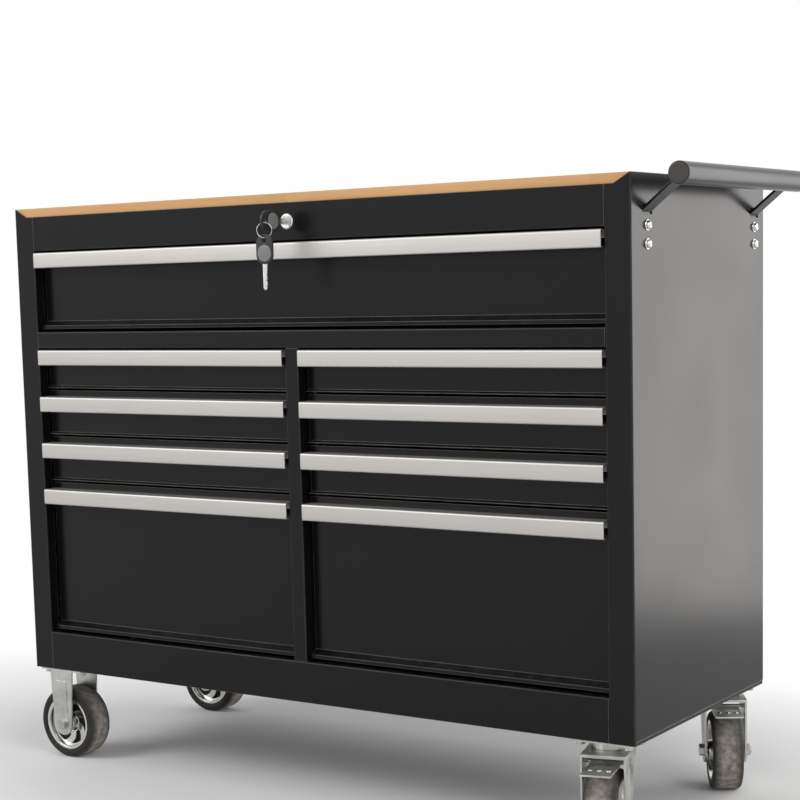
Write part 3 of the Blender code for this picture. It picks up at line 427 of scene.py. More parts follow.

# %% [markdown]
# ## Black enamel
# The cabinet is sheet steel with a baked black enamel. It is dark but glossy, so most of what the eye
# sees on it is the room. Thin sheet is never quite flat: a slow wave bends the reflections. Enamel
# also has a fine orange peel, its edges are painted a lighter grey in patches as a painted highlight
# along the folds, and hands and cloths leave broad patches of other gloss.

# %% The enamel
def gentle_bump(tree, height, strength, distance, normal=None):
    sockets = {"Height": height, "Strength": strength, "Distance": distance}
    if normal is not None:
        sockets["Normal"] = normal
    return add_node(tree, "ShaderNodeBump", sockets).outputs["Normal"]


def make_enamel(name, colour, edge_highlight_colour, gloss, wave):
    material, tree, shader = new_material(name, {"Specular IOR Level": 0.22})
    worn_and_lit_edges = use_group(tree, edge_wear_and_highlight, Radius=0.0014, Spread=1.5, Patches=45.0)["Mask"]
    dust = use_group(tree, settled_dust, Scale=55.0, Amount=0.12)["Mask"]
    marks = use_group(tree, hand_marks, Scale=4.5, Contrast=1.3)["Mask"]
    # The edges mix toward a light grey: a painted highlight along folds and edges, broken into patches.
    edge_lit_colour = mix_colour(tree, worn_and_lit_edges, colour, edge_highlight_colour)
    link(tree, mix_colour(tree, dust, edge_lit_colour, (0.10, 0.095, 0.09)), shader["Base Color"])
    link(tree, ramp(tree, marks, 0.2, 0.8, gloss - 0.03, gloss + 0.04), shader["Roughness"])
    slow = noise(tree, object_place(tree, (1.0, 1.0, 0.6)), 3.2, 1.0)
    edge = use_group(tree, soft_edge, Radius=0.0011)["Normal"]
    waved = gentle_bump(tree, slow, wave, 0.02, edge)
    peel = use_group(tree, fine_grain, Scale=850.0, Softness=2.0)["Height"]
    link(tree, gentle_bump(tree, peel, 0.05, 0.0006, waved), shader["Normal"])
    return material


# The third colour is the painted edge highlight on the enamel.
enamel = make_enamel("black_enamel", (0.0052, 0.0049, 0.0048), (0.235, 0.228, 0.222), 0.24, 0.02)
print("enamel:", enamel.name)

# %% [markdown]
# ## Brushed aluminium
# Each pull is an aluminium extrusion, brushed along its length and anodised. The brushing is a noise
# stretched far along X and squeezed across it. It shifts both the colour and the roughness a little,
# which is what draws a reflection out into a soft band.

# %% The pulls' metal
aluminium, tree, shader = new_material("brushed_aluminium", {"Metallic": 1.0})
brushed = use_group(tree, brush_lines, Along=4.0, Across=900.0)["Value"]
worn_and_lit_edges = use_group(tree, edge_wear_and_highlight, Radius=0.0008, Spread=0.9, Patches=30.0)["Mask"]
smudge = use_group(tree, hand_marks, Scale=9.0, Contrast=1.6)["Mask"]
metal = mix_colour(tree, ramp(tree, brushed, 0.3, 0.7), (0.50, 0.482, 0.462), (0.56, 0.542, 0.520))
metal = mix_colour(tree, math_node(tree, "MULTIPLY", smudge, 0.25), metal, (0.45, 0.434, 0.415))
# Edges mix toward near white: worn edges and a painted highlight along the pull's edges.
link(tree, mix_colour(tree, worn_and_lit_edges, metal, (0.82, 0.81, 0.80)), shader["Base Color"])
link(tree, ramp(tree, brushed, 0.25, 0.75, 0.44, 0.54), shader["Roughness"])
edge = use_group(tree, soft_edge, Radius=0.0009)["Normal"]
link(tree, gentle_bump(tree, brushed, 0.12, 0.0003, edge), shader["Normal"])
print("pulls:", aluminium.name)

# %% [markdown]
# ## The wood top
# The top is a glued board of pale hardwood strips under a clear satin lacquer. Each strip has its own
# tone, so a cell number picked by the strip shifts the colour. Along the strip run long streaks and
# short dark pores.

# %% Strips, streaks and pores
STRIP_WIDTH = 0.046
STRIP_LENGTH = 0.52
wood, tree, shader = new_material("lacquered_wood", {"Specular IOR Level": 0.25})
place = tree.nodes.new("ShaderNodeTexCoord").outputs["Object"]
axes = add_node(tree, "ShaderNodeSeparateXYZ", {0: place}).outputs
row = math_node(tree, "FLOOR", math_node(tree, "DIVIDE", axes["Y"], STRIP_WIDTH))
offset = math_node(tree, "MULTIPLY", math_node(tree, "MODULO", row, 3.0), STRIP_LENGTH * 0.37)
staggered = math_node(tree, "ADD", axes["X"], offset)
column = math_node(tree, "FLOOR", math_node(tree, "DIVIDE", staggered, STRIP_LENGTH))
cell = add_node(tree, "ShaderNodeCombineXYZ", {"X": column, "Y": row}).outputs[0]
tone = add_node(tree, "ShaderNodeTexWhiteNoise", {"Vector": cell}, noise_dimensions="3D").outputs["Value"]
along_strip = add_node(tree, "ShaderNodeVectorMath", {0: cell, 1: (7.0, 3.0, 5.0)}, operation="MULTIPLY_ADD")
link(tree, object_place(tree, (1.6, 34.0, 34.0)), along_strip.inputs[2])
streaks = noise(tree, along_strip.outputs[0], 1.0, 6.0, 0.6)
pores = noise(tree, object_place(tree, (14.0, 420.0, 420.0)), 1.0, 3.0)
pale = mix_colour(tree, ramp(tree, streaks, 0.32, 0.68), (0.60, 0.325, 0.135), (0.73, 0.435, 0.205))
strip = mix_colour(tree, math_node(tree, "MULTIPLY", tone, 0.35), pale, (0.56, 0.30, 0.12))
pored = mix_colour(tree, ramp(tree, pores, 0.60, 0.74, 0.0, 0.5), strip, (0.36, 0.18, 0.07))
link(tree, pored, shader["Base Color"])
link(tree, ramp(tree, streaks, 0.3, 0.7, 0.48, 0.60), shader["Roughness"])
edge = use_group(tree, soft_edge, Radius=0.0012)["Normal"]
link(tree, gentle_bump(tree, pores, 0.10, 0.0004, edge), shader["Normal"])
print("wood strips:", STRIP_WIDTH, "by", STRIP_LENGTH)

# %% [markdown]
# ## Plated steel
# Forks, plates and slides are zinc plated: a grey metal with faint crystals and a slightly dull,
# handled surface. Hubs, the lock and the bolts are brighter. Both finishes come from one function
# with other numbers.

# %% Zinc, bright plate and key steel
def make_plate(name, dark, light, rough_low, rough_high, crystals, dust_amount):
    material, tree, shader = new_material(name, {"Metallic": 1.0})
    flakes = add_node(
        tree, "ShaderNodeTexVoronoi", {"Vector": object_place(tree), "Scale": crystals, "Randomness": 1.0}
    ).outputs["Color"]
    tint = add_node(tree, "ShaderNodeSeparateColor", {0: flakes}).outputs[0]
    marks = use_group(tree, hand_marks, Scale=28.0, Contrast=1.8)["Mask"]
    worn_and_lit_edges = use_group(tree, edge_wear_and_highlight, Radius=0.0008, Spread=0.8, Patches=80.0)["Mask"]
    dust = use_group(tree, settled_dust, Scale=90.0, Amount=dust_amount)["Mask"]
    crystal_share = math_node(tree, "MULTIPLY", tint, 0.35)
    mark_share = math_node(tree, "MULTIPLY", marks, 0.65)
    metal = mix_colour(tree, math_node(tree, "ADD", crystal_share, mark_share), dark, light)
    # Edges mix toward a pale grey: worn plating and a painted highlight on the edges.
    metal = mix_colour(tree, worn_and_lit_edges, metal, (0.84, 0.83, 0.80))
    link(tree, mix_colour(tree, dust, metal, (0.34, 0.31, 0.27)), shader["Base Color"])
    link(tree, ramp(tree, marks, 0.2, 0.8, rough_low, rough_high), shader["Roughness"])
    edge = use_group(tree, soft_edge, Radius=0.0008)["Normal"]
    link(tree, gentle_bump(tree, marks, 0.06, 0.0005, edge), shader["Normal"])
    return material


zinc = make_plate("zinc_plate", (0.40, 0.40, 0.38), (0.62, 0.62, 0.59), 0.26, 0.46, 140.0, 0.5)
bright_plate = make_plate("bright_plate", (0.58, 0.57, 0.55), (0.76, 0.75, 0.73), 0.12, 0.24, 60.0, 0.3)
key_steel = make_plate("key_steel", (0.52, 0.52, 0.50), (0.70, 0.70, 0.68), 0.20, 0.34, 220.0, 0.0)
print("plated:", zinc.name, bright_plate.name, key_steel.name)

# %% [markdown]
# ## Rubber and plastic
# A tyre is matt black rubber with a grey, scuffed tread. The wheel's own X axis is its axle, so the
# distance from that axis tells the tread from the sidewall, and the tread is palest along its middle.
# End caps and key heads are moulded plastic with a fine spark-eroded grain.

# %% Rubber and moulded plastic
TREAD_START = 0.0585
TREAD_DEPTH = 0.003
PALE_BAND = (0.010, 0.020)
BAND_EDGE = 0.15
rubber, tree, shader = new_material("tyre_rubber", {"Specular IOR Level": 0.35})
place = tree.nodes.new("ShaderNodeTexCoord").outputs["Object"]
axes = add_node(tree, "ShaderNodeSeparateXYZ", {0: place}).outputs
across = math_node(tree, "POWER", axes["Y"], 2.0)
upwards = math_node(tree, "POWER", axes["Z"], 2.0)
distance = math_node(tree, "SQRT", math_node(tree, "ADD", across, upwards))
tread = ramp(tree, distance, TREAD_START, TREAD_START + TREAD_DEPTH)
off_centre = math_node(tree, "ABSOLUTE", axes["X"])
tread = math_node(tree, "MULTIPLY", tread, ramp(tree, off_centre, *PALE_BAND, 1.0, BAND_EDGE))
scuffs = noise(tree, object_place(tree), 110.0, 8.0)
worn = math_node(tree, "MULTIPLY", tread, ramp(tree, scuffs, 0.34, 0.66, 0.40, 1.0))
dusty = use_group(tree, hand_marks, Scale=40.0, Contrast=2.0)["Mask"]
dusty = math_node(tree, "MULTIPLY", dusty, 0.35)
side = mix_colour(tree, dusty, (0.012, 0.0115, 0.0115), (0.036, 0.034, 0.032))
link(tree, mix_colour(tree, worn, side, (0.37, 0.335, 0.300)), shader["Base Color"])
link(tree, ramp(tree, scuffs, 0.3, 0.7, 0.58, 0.82), shader["Roughness"])
pebbled = use_group(tree, fine_grain, Scale=1200.0, Softness=3.0)["Height"]
link(tree, gentle_bump(tree, pebbled, 0.25, 0.0006), shader["Normal"])


def make_plastic(name, colour, rubbed_and_lit_colour, roughness):
    material, tree, shader = new_material(name, {"Specular IOR Level": 0.4})
    worn_and_lit_edges = use_group(tree, edge_wear_and_highlight, Radius=0.0009, Spread=0.6, Patches=90.0)["Mask"]
    marks = use_group(tree, hand_marks, Scale=35.0, Contrast=1.5)["Mask"]
    # Edges mix toward the lighter colour: rubbed plastic and a painted highlight on the edges, such as the end
    # caps' light rim.
    link(tree, mix_colour(tree, worn_and_lit_edges, colour, rubbed_and_lit_colour), shader["Base Color"])
    link(tree, ramp(tree, marks, 0.2, 0.8, roughness - 0.08, roughness + 0.08), shader["Roughness"])
    grain = use_group(tree, fine_grain, Scale=2200.0, Softness=2.0)["Height"]
    link(tree, gentle_bump(tree, grain, 0.15, 0.0003), shader["Normal"])
    return material


# The second colour of each is the lighter edge colour: rubbed plastic and a painted edge highlight.
cap_plastic = make_plastic("cap_plastic", (0.043, 0.038, 0.036), (0.105, 0.097, 0.093), 0.52)
key_plastic = make_plastic("key_plastic", (0.020, 0.020, 0.020), (0.08, 0.08, 0.08), 0.42)
core_plastic = make_plastic("wheel_core", (0.012, 0.012, 0.012), (0.05, 0.05, 0.05), 0.60)
pad_plastic = make_plastic("key_pad", (0.20, 0.20, 0.20), (0.34, 0.34, 0.33), 0.50)
print("moulded:", cap_plastic.name, key_plastic.name, pad_plastic.name)

# %% [markdown]
# ## Dressing the solids that stay
# Sheet-metal pieces already have their true shape, so they keep their solids and only get a finish.
# The record names a finish slot for each of them, and a small table gives each slot its material.

# %% Finishes on the solids
SLOT_FINISH = {
    "black_paint": enamel,
    "brushed_aluminium": aluminium,
    "wood": wood,
    "zinc_plate": zinc,
    "chromed_hub": bright_plate,
    "tyre_rubber": rubber,
    "black_plastic": key_plastic,
    "key_steel": key_steel,
}
for entry in frame["record"]["subparts"]:
    slots = nodes[entry["node"]].data.materials
    slots.clear()
    slots.append(SLOT_FINISH[entry["material_slot"]])

# %% [markdown]
# ## Wheels
# Each wheel is a moulded tyre on a spoked hub. A lathe profile gives the tyre: flat tread, round
# shoulders, a bead line where the mould halves met the sidewall. The hub has a rim, a boss and two
# spoked faces, each a flat outline with six swirled windows. Behind the faces lies the dark core,
# which is why the windows look black on the real wheel.

# %% Tyre and hub meshes
TYRE_RADIUS = 0.06216
TYRE_SEAT = 0.0474
TYRE_HALF = 0.024
SPOKE_COUNT = 6
SPOKE_SWIRL = 26.0
WINDOW_SHARE = 0.60
FACE_THICKNESS = 0.0085
FACE_PLACE = 0.0098


def mirrored(profile):
    """A profile of (along, radius) points from one end to the middle, carried on to the other end."""
    return profile + [(-along, radius) for along, radius in reversed(profile)]


def tyre_mesh():
    half = [(-TYRE_HALF + 0.0016, TYRE_SEAT), (-TYRE_HALF + 0.0002, TYRE_SEAT + 0.0028)]
    half += [(-TYRE_HALF + 0.0006, TYRE_SEAT + 0.0036), (-TYRE_HALF, TYRE_SEAT + 0.0046)]
    shoulder = 0.0072
    centre = (-TYRE_HALF + shoulder, TYRE_RADIUS - 0.0002 - shoulder)
    half += arc(shoulder, 180.0, 97.0, 9, centre)
    groove = ((-0.0125, 0.0001), (-0.0121, 0.0005), (-0.0115, 0.0005), (-0.0111, 0.0001), (-0.004, 0.0))
    half += [(along, TYRE_RADIUS - drop) for along, drop in groove]
    return lathe(mirrored(half), steps=96, closed=True)


def softened(outline, reach, steps=4):
    """An outline with its sharp corners rounded over a short reach on both sides."""
    points = [Vector(point) for point in outline]
    result = []
    for i, corner in enumerate(points):
        before = points[i - 1] - corner
        after = points[(i + 1) % len(points)] - corner
        if before.angle(after) > math.radians(145.0):
            result.append(tuple(corner))
            continue
        first = corner + before.normalized() * min(reach, before.length * 0.45)
        last = corner + after.normalized() * min(reach, after.length * 0.45)
        for j in range(steps + 1):
            share = j / steps
            blend = first.lerp(corner, share).lerp(corner.lerp(last, share), share)
            result.append(tuple(blend))
    return result


def spoke_window(start, inner, outer):
    """One window between two spokes, swept round as it goes out."""
    width = 360.0 / SPOKE_COUNT * WINDOW_SHARE
    steps = 6
    side = []
    for j in range(steps + 1):
        share = j / steps
        side.append((inner + (outer - inner) * share, SPOKE_SWIRL * share ** 1.4))
    outline = [polar(radius, start + turn) for radius, turn in side]
    outline += arc(outer, start + SPOKE_SWIRL, start + SPOKE_SWIRL + width, 8)[1:-1]
    for radius, turn in reversed(side):
        spread = width * (0.72 + 0.28 * (radius - inner) / (outer - inner))
        outline.append(polar(radius, start + spread + turn))
    return softened(outline, 0.0028)


def rounded_plate(outlines, thickness, edge, segments=3):
    """A flat plate from outlines, the first with holes in it, whose sharp edges are rounded."""
    mesh = plate(outlines, thickness)
    holder = bpy.data.objects.new("plate", mesh)
    bevel = holder.modifiers.new("edges", "BEVEL")
    bevel.width = edge
    bevel.segments = segments
    bevel.limit_method = "ANGLE"
    bevel.angle_limit = math.radians(50.0)
    return baked(holder)


def hub_mesh():
    rim_half = [(-0.0228, 0.0471), (-0.0228, 0.0436), (-0.0220, 0.0427), (-0.0205, 0.0420), (-0.0142, 0.0409)]
    rim = lathe(mirrored(rim_half), steps=96, closed=True)
    boss_half = [(-0.027, 0.0063), (-0.027, 0.0132), (-0.0262, 0.0146), (-0.0245, 0.0154), (-0.0145, 0.0190)]
    boss = lathe(mirrored(boss_half), steps=64, closed=True)
    outline = arc(0.0413, 0.0, 354.0, 59)
    windows = [spoke_window(i * 360.0 / SPOKE_COUNT, 0.0205, 0.0388) for i in range(SPOKE_COUNT)]
    face = rounded_plate([outline] + windows, FACE_THICKNESS, 0.0014)
    upright = Matrix.Rotation(math.radians(90.0), 4, "Y")
    faces = [moved(face, Matrix.Translation((side * FACE_PLACE, 0.0, 0.0)) @ upright) for side in (-1, 1)]
    return merged(rim, boss, *faces)


def core_mesh():
    reach = FACE_PLACE - FACE_THICKNESS / 2 + 0.0006
    half = [(-reach, 0.0172), (-reach, 0.0300), (-reach - 0.0012, 0.0415)]
    return lathe(mirrored(half), steps=64, closed=True)


tyre_shape = tyre_mesh()
hub_shape = hub_mesh()
core_shape = core_mesh()
print("wheel faces:", len(tyre_shape.polygons), len(hub_shape.polygons), len(core_shape.polygons))

# %% Wheels on their axles
CASTERS = ("caster_front_left", "caster_rear_left", "caster_front_right", "caster_rear_right")


def axle_matrix(joint_name):
    """The place of a hinge, with X along its axis and Z up."""
    joint = joints[joint_name]
    along = Vector(joint["axis"]).normalized()
    upward = Vector((0.0, 0.0, 1.0))
    across = upward.cross(along)
    return Matrix.Translation(joint["pos_m"]) @ Matrix((along, across, upward)).transposed().to_4x4()


for caster in CASTERS:
    axle = axle_matrix(caster + "_spin")
    wheel = caster + "_wheel"
    tyre = add_object(caster + "_moulded_tyre", tyre_shape.copy(), rubber, wheel, axle)
    hub = add_object(caster + "_spoked_hub", hub_shape.copy(), bright_plate, wheel, axle)
    add_object(caster + "_wheel_core", core_shape.copy(), core_plastic, wheel, axle)
    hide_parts(caster + "_tyre")
    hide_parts(caster + "_hub")
print("wheels:", len(CASTERS))

# %% [markdown]
# ## Fasteners
# The handle's arms are bolted through the side sheet, with a round head over a washer on the outside.
# The casters hang on hexagon bolts, one at each corner of the mounting plate. A head is a turned
# profile. The cross slot is cut with a Boolean, which is simple and exact for a one-off cut.

# %% Bolt meshes
def cross_slot(width, length, depth):
    """A cross-shaped cutter that points along X."""
    arms = []
    for x, y in ((width / 2, length / 2), (length / 2, width / 2)):
        outline = [(-x, -y), (x, -y), (x, y), (-x, y)]
        arms.append(moved(plate([outline], depth), Matrix.Rotation(math.radians(90.0), 4, "Y")))
    return arms


def carved(mesh, cutters):
    """A mesh with other meshes taken out of it."""
    for cutter_mesh in cutters:
        cutter = bpy.data.objects.new("cutter", cutter_mesh)
        bpy.context.scene.collection.objects.link(cutter)
        holder = bpy.data.objects.new("carved", mesh)
        change = holder.modifiers.new("slot", "BOOLEAN")
        change.operation = "DIFFERENCE"
        change.solver = "EXACT"
        change.object = cutter
        mesh = baked(holder)
        bpy.data.objects.remove(cutter, do_unlink=True)
    return mesh


def round_head(radius, height):
    profile = [(0.0, 0.0), (0.0, radius), (height * 0.25, radius)]
    for x, y in arc(1.0, 20.0, 90.0, 7):
        profile.append((height * (0.25 + 0.75 * y), radius * x))
    profile[-1] = (height, 0.0)
    return lathe(profile, steps=36)


def washer(radius, hole, thickness):
    soft = thickness * 0.35
    profile = [(0.0, hole), (0.0, radius), (thickness - soft, radius)]
    profile += [(thickness, radius - soft), (thickness, hole)]
    return lathe(profile, steps=40, closed=True)


def hexagon_head(across_flats, height):
    outline = arc(across_flats / math.sqrt(3.0), 0.0, 300.0, 5)
    block = rounded_plate([outline], height, height * 0.14, 2)
    upright = Matrix.Rotation(math.radians(90.0), 4, "Y")
    return moved(block, Matrix.Translation((height / 2, 0.0, 0.0)) @ upright)


WASHER_THICKNESS = 0.0013
HEAD_RADIUS = 0.0064
HEAD_HEIGHT = 0.0054
on_top = Matrix.Translation((HEAD_HEIGHT, 0.0, 0.0))
slot_arms = [moved(arm, on_top) for arm in cross_slot(0.0012, 0.0058, 0.0038)]
head = carved(round_head(HEAD_RADIUS, HEAD_HEIGHT), slot_arms)
on_washer = Matrix.Translation((WASHER_THICKNESS - 0.0001, 0.0, 0.0))
handle_bolt = merged(washer(0.0078, 0.0030, WASHER_THICKNESS), moved(head, on_washer))
plate_bolt = merged(washer(0.0085, 0.0040, WASHER_THICKNESS), moved(hexagon_head(0.0125, 0.0052), on_washer))
print("bolt faces:", len(handle_bolt.polygons), len(plate_bolt.polygons))

# %% Bolts in their places
side_face, _, side_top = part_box("side_panel_right")[1]
BOLT_DROPS = (0.0716, 0.0976)
ARM_PLACES = {"front": -0.182, "rear": 0.197}
for arm_name, arm_y in ARM_PLACES.items():
    for i, drop in enumerate(BOLT_DROPS):
        spin = Matrix.Rotation(math.radians(25.0 + 40.0 * i), 4, "X")
        place = Matrix.Translation((side_face, arm_y, side_top - drop)) @ spin
        bolt_name = f"handle_bolt_{arm_name}_{i + 1}"
        add_object(bolt_name, handle_bolt.copy(), bright_plate, "cabinet", place)

PLATE_BOLT_X = 0.0385
PLATE_BOLT_Y = 0.0205
PLATE_THICKNESS = 0.003
down = Matrix.Rotation(math.radians(90.0), 4, "Y")
for caster in CASTERS:
    plate_node = caster + ("_plate" if "right" in caster else "_fork")
    turning = caster + ("_turn" if "right" in caster else "_spin")
    side_x, side_y, _ = joints[turning]["pos_m"]
    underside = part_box(plate_node)[1][2] - PLATE_THICKNESS
    heads = []
    for dx in (-PLATE_BOLT_X, PLATE_BOLT_X):
        for dy in (-PLATE_BOLT_Y, PLATE_BOLT_Y):
            heads.append(moved(plate_bolt, Matrix.Translation((side_x + dx, side_y + dy, underside)) @ down))
    add_object(caster + "_plate_bolts", merged(*heads), zinc, "cabinet")
print("bolts placed")

# %% [markdown]
# ## The handle
# The handle is a round tube on two flat arms. The solid's tube has flat facets, so it is turned again
# here with a fine lathe. Each arm is flat bar, bent once where it leaves the side sheet, so it is an
# outline along a bent path, extruded to the bar's width. Where an arm meets the tube lies a weld bead.

# %% Bent bars
def bent_bar(path, thickness, width, edge, bend_radius):
    """A flat bar bent along an (x, z) path, its thickness on the path's left, centred on Y."""
    eased = softened_path(path, bend_radius)
    left = []
    for i, point in enumerate(eased):
        before = eased[max(i - 1, 0)]
        after = eased[min(i + 1, len(eased) - 1)]
        along = (after - before).normalized()
        left.append(point + Vector((-along.y, along.x)) * thickness)
    outline = [tuple(point) for point in eased + left[::-1]]
    mesh = rounded_plate([outline], width, edge, 2)
    return moved(mesh, Matrix.Rotation(math.radians(90.0), 4, "X"))


def softened_path(path, reach, steps=6):
    """An open path whose inner corners are rounded."""
    points = [Vector(point) for point in path]
    result = [points[0]]
    for before, corner, after in zip(points, points[1:], points[2:]):
        first = corner + (before - corner).normalized() * reach
        last = corner + (after - corner).normalized() * reach
        for j in range(steps + 1):
            share = j / steps
            result.append(first.lerp(corner, share).lerp(corner.lerp(last, share), share))
    return result + [points[-1]]


print("bent bars ready")

# %% Tube, arms, weld beads and end caps
TUBE_RADIUS = 0.016
TUBE_WALL = 0.0018
CAP_RIM = 0.002
CAP_RADIUS = 0.015
ARM_THICKNESS = 0.004
ARM_WIDTH = 0.030
ARM_FOOT = 0.0018
ARM_BEND = side_top - 0.0540
ARM_LENGTH = 0.062
front_cap, rear_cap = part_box("handle_cap_front"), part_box("handle_cap_rear")
tube_x = (front_cap[0][0] + front_cap[1][0]) / 2
tube_z = (front_cap[0][2] + front_cap[1][2]) / 2
tube_start = front_cap[0][1] + CAP_RIM
tube_end = rear_cap[1][1] - CAP_RIM
along_y = Matrix.Rotation(math.radians(90.0), 4, "Z")
bore = TUBE_RADIUS - TUBE_WALL
length = tube_end - tube_start
tube_profile = [(0.0, bore), (0.0, TUBE_RADIUS), (length, TUBE_RADIUS), (length, bore)]
tube_shape = lathe(tube_profile, steps=80, closed=True)
tube_place = Matrix.Translation((tube_x, tube_start, tube_z)) @ along_y
tube = add_object("handle_tube", tube_shape, enamel, "cabinet", tube_place)
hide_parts("handle")

foot_x = side_face - ARM_FOOT
toward = Vector((tube_x - foot_x, tube_z - ARM_BEND))
reach = toward.length - TUBE_RADIUS + TUBE_WALL / 2
weld = Vector((foot_x, ARM_BEND)) + toward.normalized() * reach
arm_path = [(foot_x, ARM_BEND - ARM_LENGTH), (foot_x, ARM_BEND), tuple(weld)]
arm_shape = bent_bar(arm_path, ARM_THICKNESS, ARM_WIDTH, 0.0006, 0.0022)
across = Vector((-toward.y, toward.x)).normalized()


def weld_bead(start, end, radius, ripples):
    """A bead of weld metal whose ripples follow the welder's steps."""
    steps = ripples * 4
    points = [start.lerp(end, i / steps) for i in range(steps + 1)]
    swells = [0.86 + 0.14 * math.cos(i * math.pi / 2) for i in range(steps + 1)]
    swells[0] = swells[-1] = 0.86
    return wire(points, radius, swells=swells)


for arm_name, arm_y in ARM_PLACES.items():
    place = Matrix.Translation((0.0, arm_y, 0.0))
    add_object("handle_arm_" + arm_name, arm_shape.copy(), enamel, "cabinet", place)
    beads = []
    for offset in (-0.0004, ARM_THICKNESS + 0.0004):
        drop = math.sqrt(TUBE_RADIUS ** 2 - offset ** 2)
        seam = Vector((tube_x, tube_z)) - toward.normalized() * drop + across * offset
        ends = [Vector((seam.x, arm_y + side * (ARM_WIDTH / 2 - 0.0015), seam.y)) for side in (-1, 1)]
        beads.append(weld_bead(ends[0], ends[1], 0.0014, 8))
    add_object("handle_weld_" + arm_name, merged(*beads), enamel, "cabinet")

cap_edge = 0.0012
cap_profile = [(-0.012, 0.0), (-0.012, bore - 0.0006), (0.0003, bore - 0.0003), (0.0003, CAP_RADIUS)]
for x, y in arc(cap_edge, 0.0, 90.0, 5):
    cap_profile.append((CAP_RIM - cap_edge + y, CAP_RADIUS - cap_edge + x))
cap_profile += [(CAP_RIM - 0.0002, CAP_RADIUS * 0.55), (CAP_RIM - 0.0002, 0.0)]
cap_shape = lathe(cap_profile, steps=64)
for cap_name, cap_y, turn_by in (("front", tube_start, -90.0), ("rear", tube_end, 90.0)):
    place = Matrix.Translation((tube_x, cap_y, tube_z)) @ Matrix.Rotation(math.radians(turn_by), 4, "Z")
    piece_name = "handle_end_cap_" + cap_name
    cap = add_object(piece_name, cap_shape.copy(), cap_plastic, "cabinet", place)
    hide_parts("handle_cap_" + cap_name)
print("tube from", round(tube_start, 4), "to", round(tube_end, 4))

# %% [markdown]
# ## Lock and keys
# The lock's face is a turned, slightly domed ring. A key is a steel blade with its cuts along one edge
# and a milled groove, held in a moulded head with a soft grey pad raised on each face.
# Both keys hang on a split ring, which is one wire wound almost twice.

# %% Key and ring meshes
LOCK_FACE_RADIUS = 0.012
LOCK_BORE = 0.0073
KEY_HEAD = (-0.0078, 0.0372)
KEY_HEAD_HALF = 0.0155
KEY_HOLE = 0.0045
KEY_TIP = 0.0772
KEY_EDGE = 0.004


def oval(low, high, half, radius, steps=8):
    """A rounded rectangle from low to high along X."""
    corners = ((high - radius, half - radius, 0.0), (low + radius, half - radius, 90.0))
    corners += ((low + radius, radius - half, 180.0), (high - radius, radius - half, 270.0))
    outline = []
    for x, y, first in corners:
        outline += arc(radius, first, first + 90.0, steps, (x, y))
    return outline


def key_head_mesh():
    outline = oval(KEY_HEAD[0], KEY_HEAD[1], KEY_HEAD_HALF, 0.0138)
    hole = arc(KEY_HOLE, 0.0, 350.0, 35)
    return rounded_plate([outline, hole], 0.0032, 0.0008)


def key_pad_mesh():
    outline = oval(KEY_HOLE + 0.0036, KEY_HEAD[1] - 0.0040, KEY_HEAD_HALF - 0.0030, 0.0118)
    pad = rounded_plate([outline], 0.0009, 0.0003, 2)
    return merged(*[moved(pad, Matrix.Translation((0.0, 0.0, side * 0.0017))) for side in (-1, 1)])


def key_blade_mesh():
    start = KEY_HEAD[1] - 0.006
    shoulder = KEY_HEAD[1] + 0.006
    depths = (0.0009, 0.0019, 0.0013, 0.0022, 0.0008, 0.0016)
    pitch = (KEY_TIP - 0.0042 - shoulder - 0.004) / len(depths)
    outline = [(start, -KEY_EDGE), (KEY_TIP - KEY_EDGE, -KEY_EDGE)]
    outline += [(KEY_TIP, -0.0004), (KEY_TIP - 0.0032, KEY_EDGE - 0.0008)]
    for i, depth in reversed(list(enumerate(depths))):
        middle = shoulder + 0.004 + (i + 0.5) * pitch
        for step, share in ((0.32, 0.25), (0.12, 1.0), (-0.12, 1.0), (-0.32, 0.25)):
            outline.append((middle + pitch * step, KEY_EDGE - depth * share))
    outline += [(shoulder + 0.003, KEY_EDGE), (start, KEY_EDGE)]
    blade = rounded_plate([outline], 0.0020, 0.00025, 2)
    slot = oval(shoulder + 0.001, KEY_TIP - 0.004, 0.0006, 0.0005, 3)
    cutter = plate([slot], 0.0009)
    grooves = [moved(cutter, Matrix.Translation((0.0, -0.0012, side * 0.0010))) for side in (-1, 1)]
    return carved(blade, grooves)


def split_ring_mesh(radius, wire_radius):
    """A wire wound nearly twice, standing in the XZ plane, with its top at the origin."""
    turns = 1.85
    steps = 90
    points = []
    for i in range(steps + 1):
        share = i / steps
        angle = math.radians(200.0) + share * turns * math.tau
        depth = (share - 0.5) * 2.0 * wire_radius
        points.append((radius * math.cos(angle), depth, radius * math.sin(angle) - radius))
    return wire(points, wire_radius * 0.62, resolution=4)


key_parts = (
    (key_head_mesh(), "head", key_plastic, "black_plastic"),
    (key_pad_mesh(), "pads", pad_plastic, "black_plastic"),
    (key_blade_mesh(), "blade", key_steel, "key_steel"),
)
ring_shape = split_ring_mesh(0.0115, 0.0008)
print("key faces:", [len(part[0].polygons) for part in key_parts])

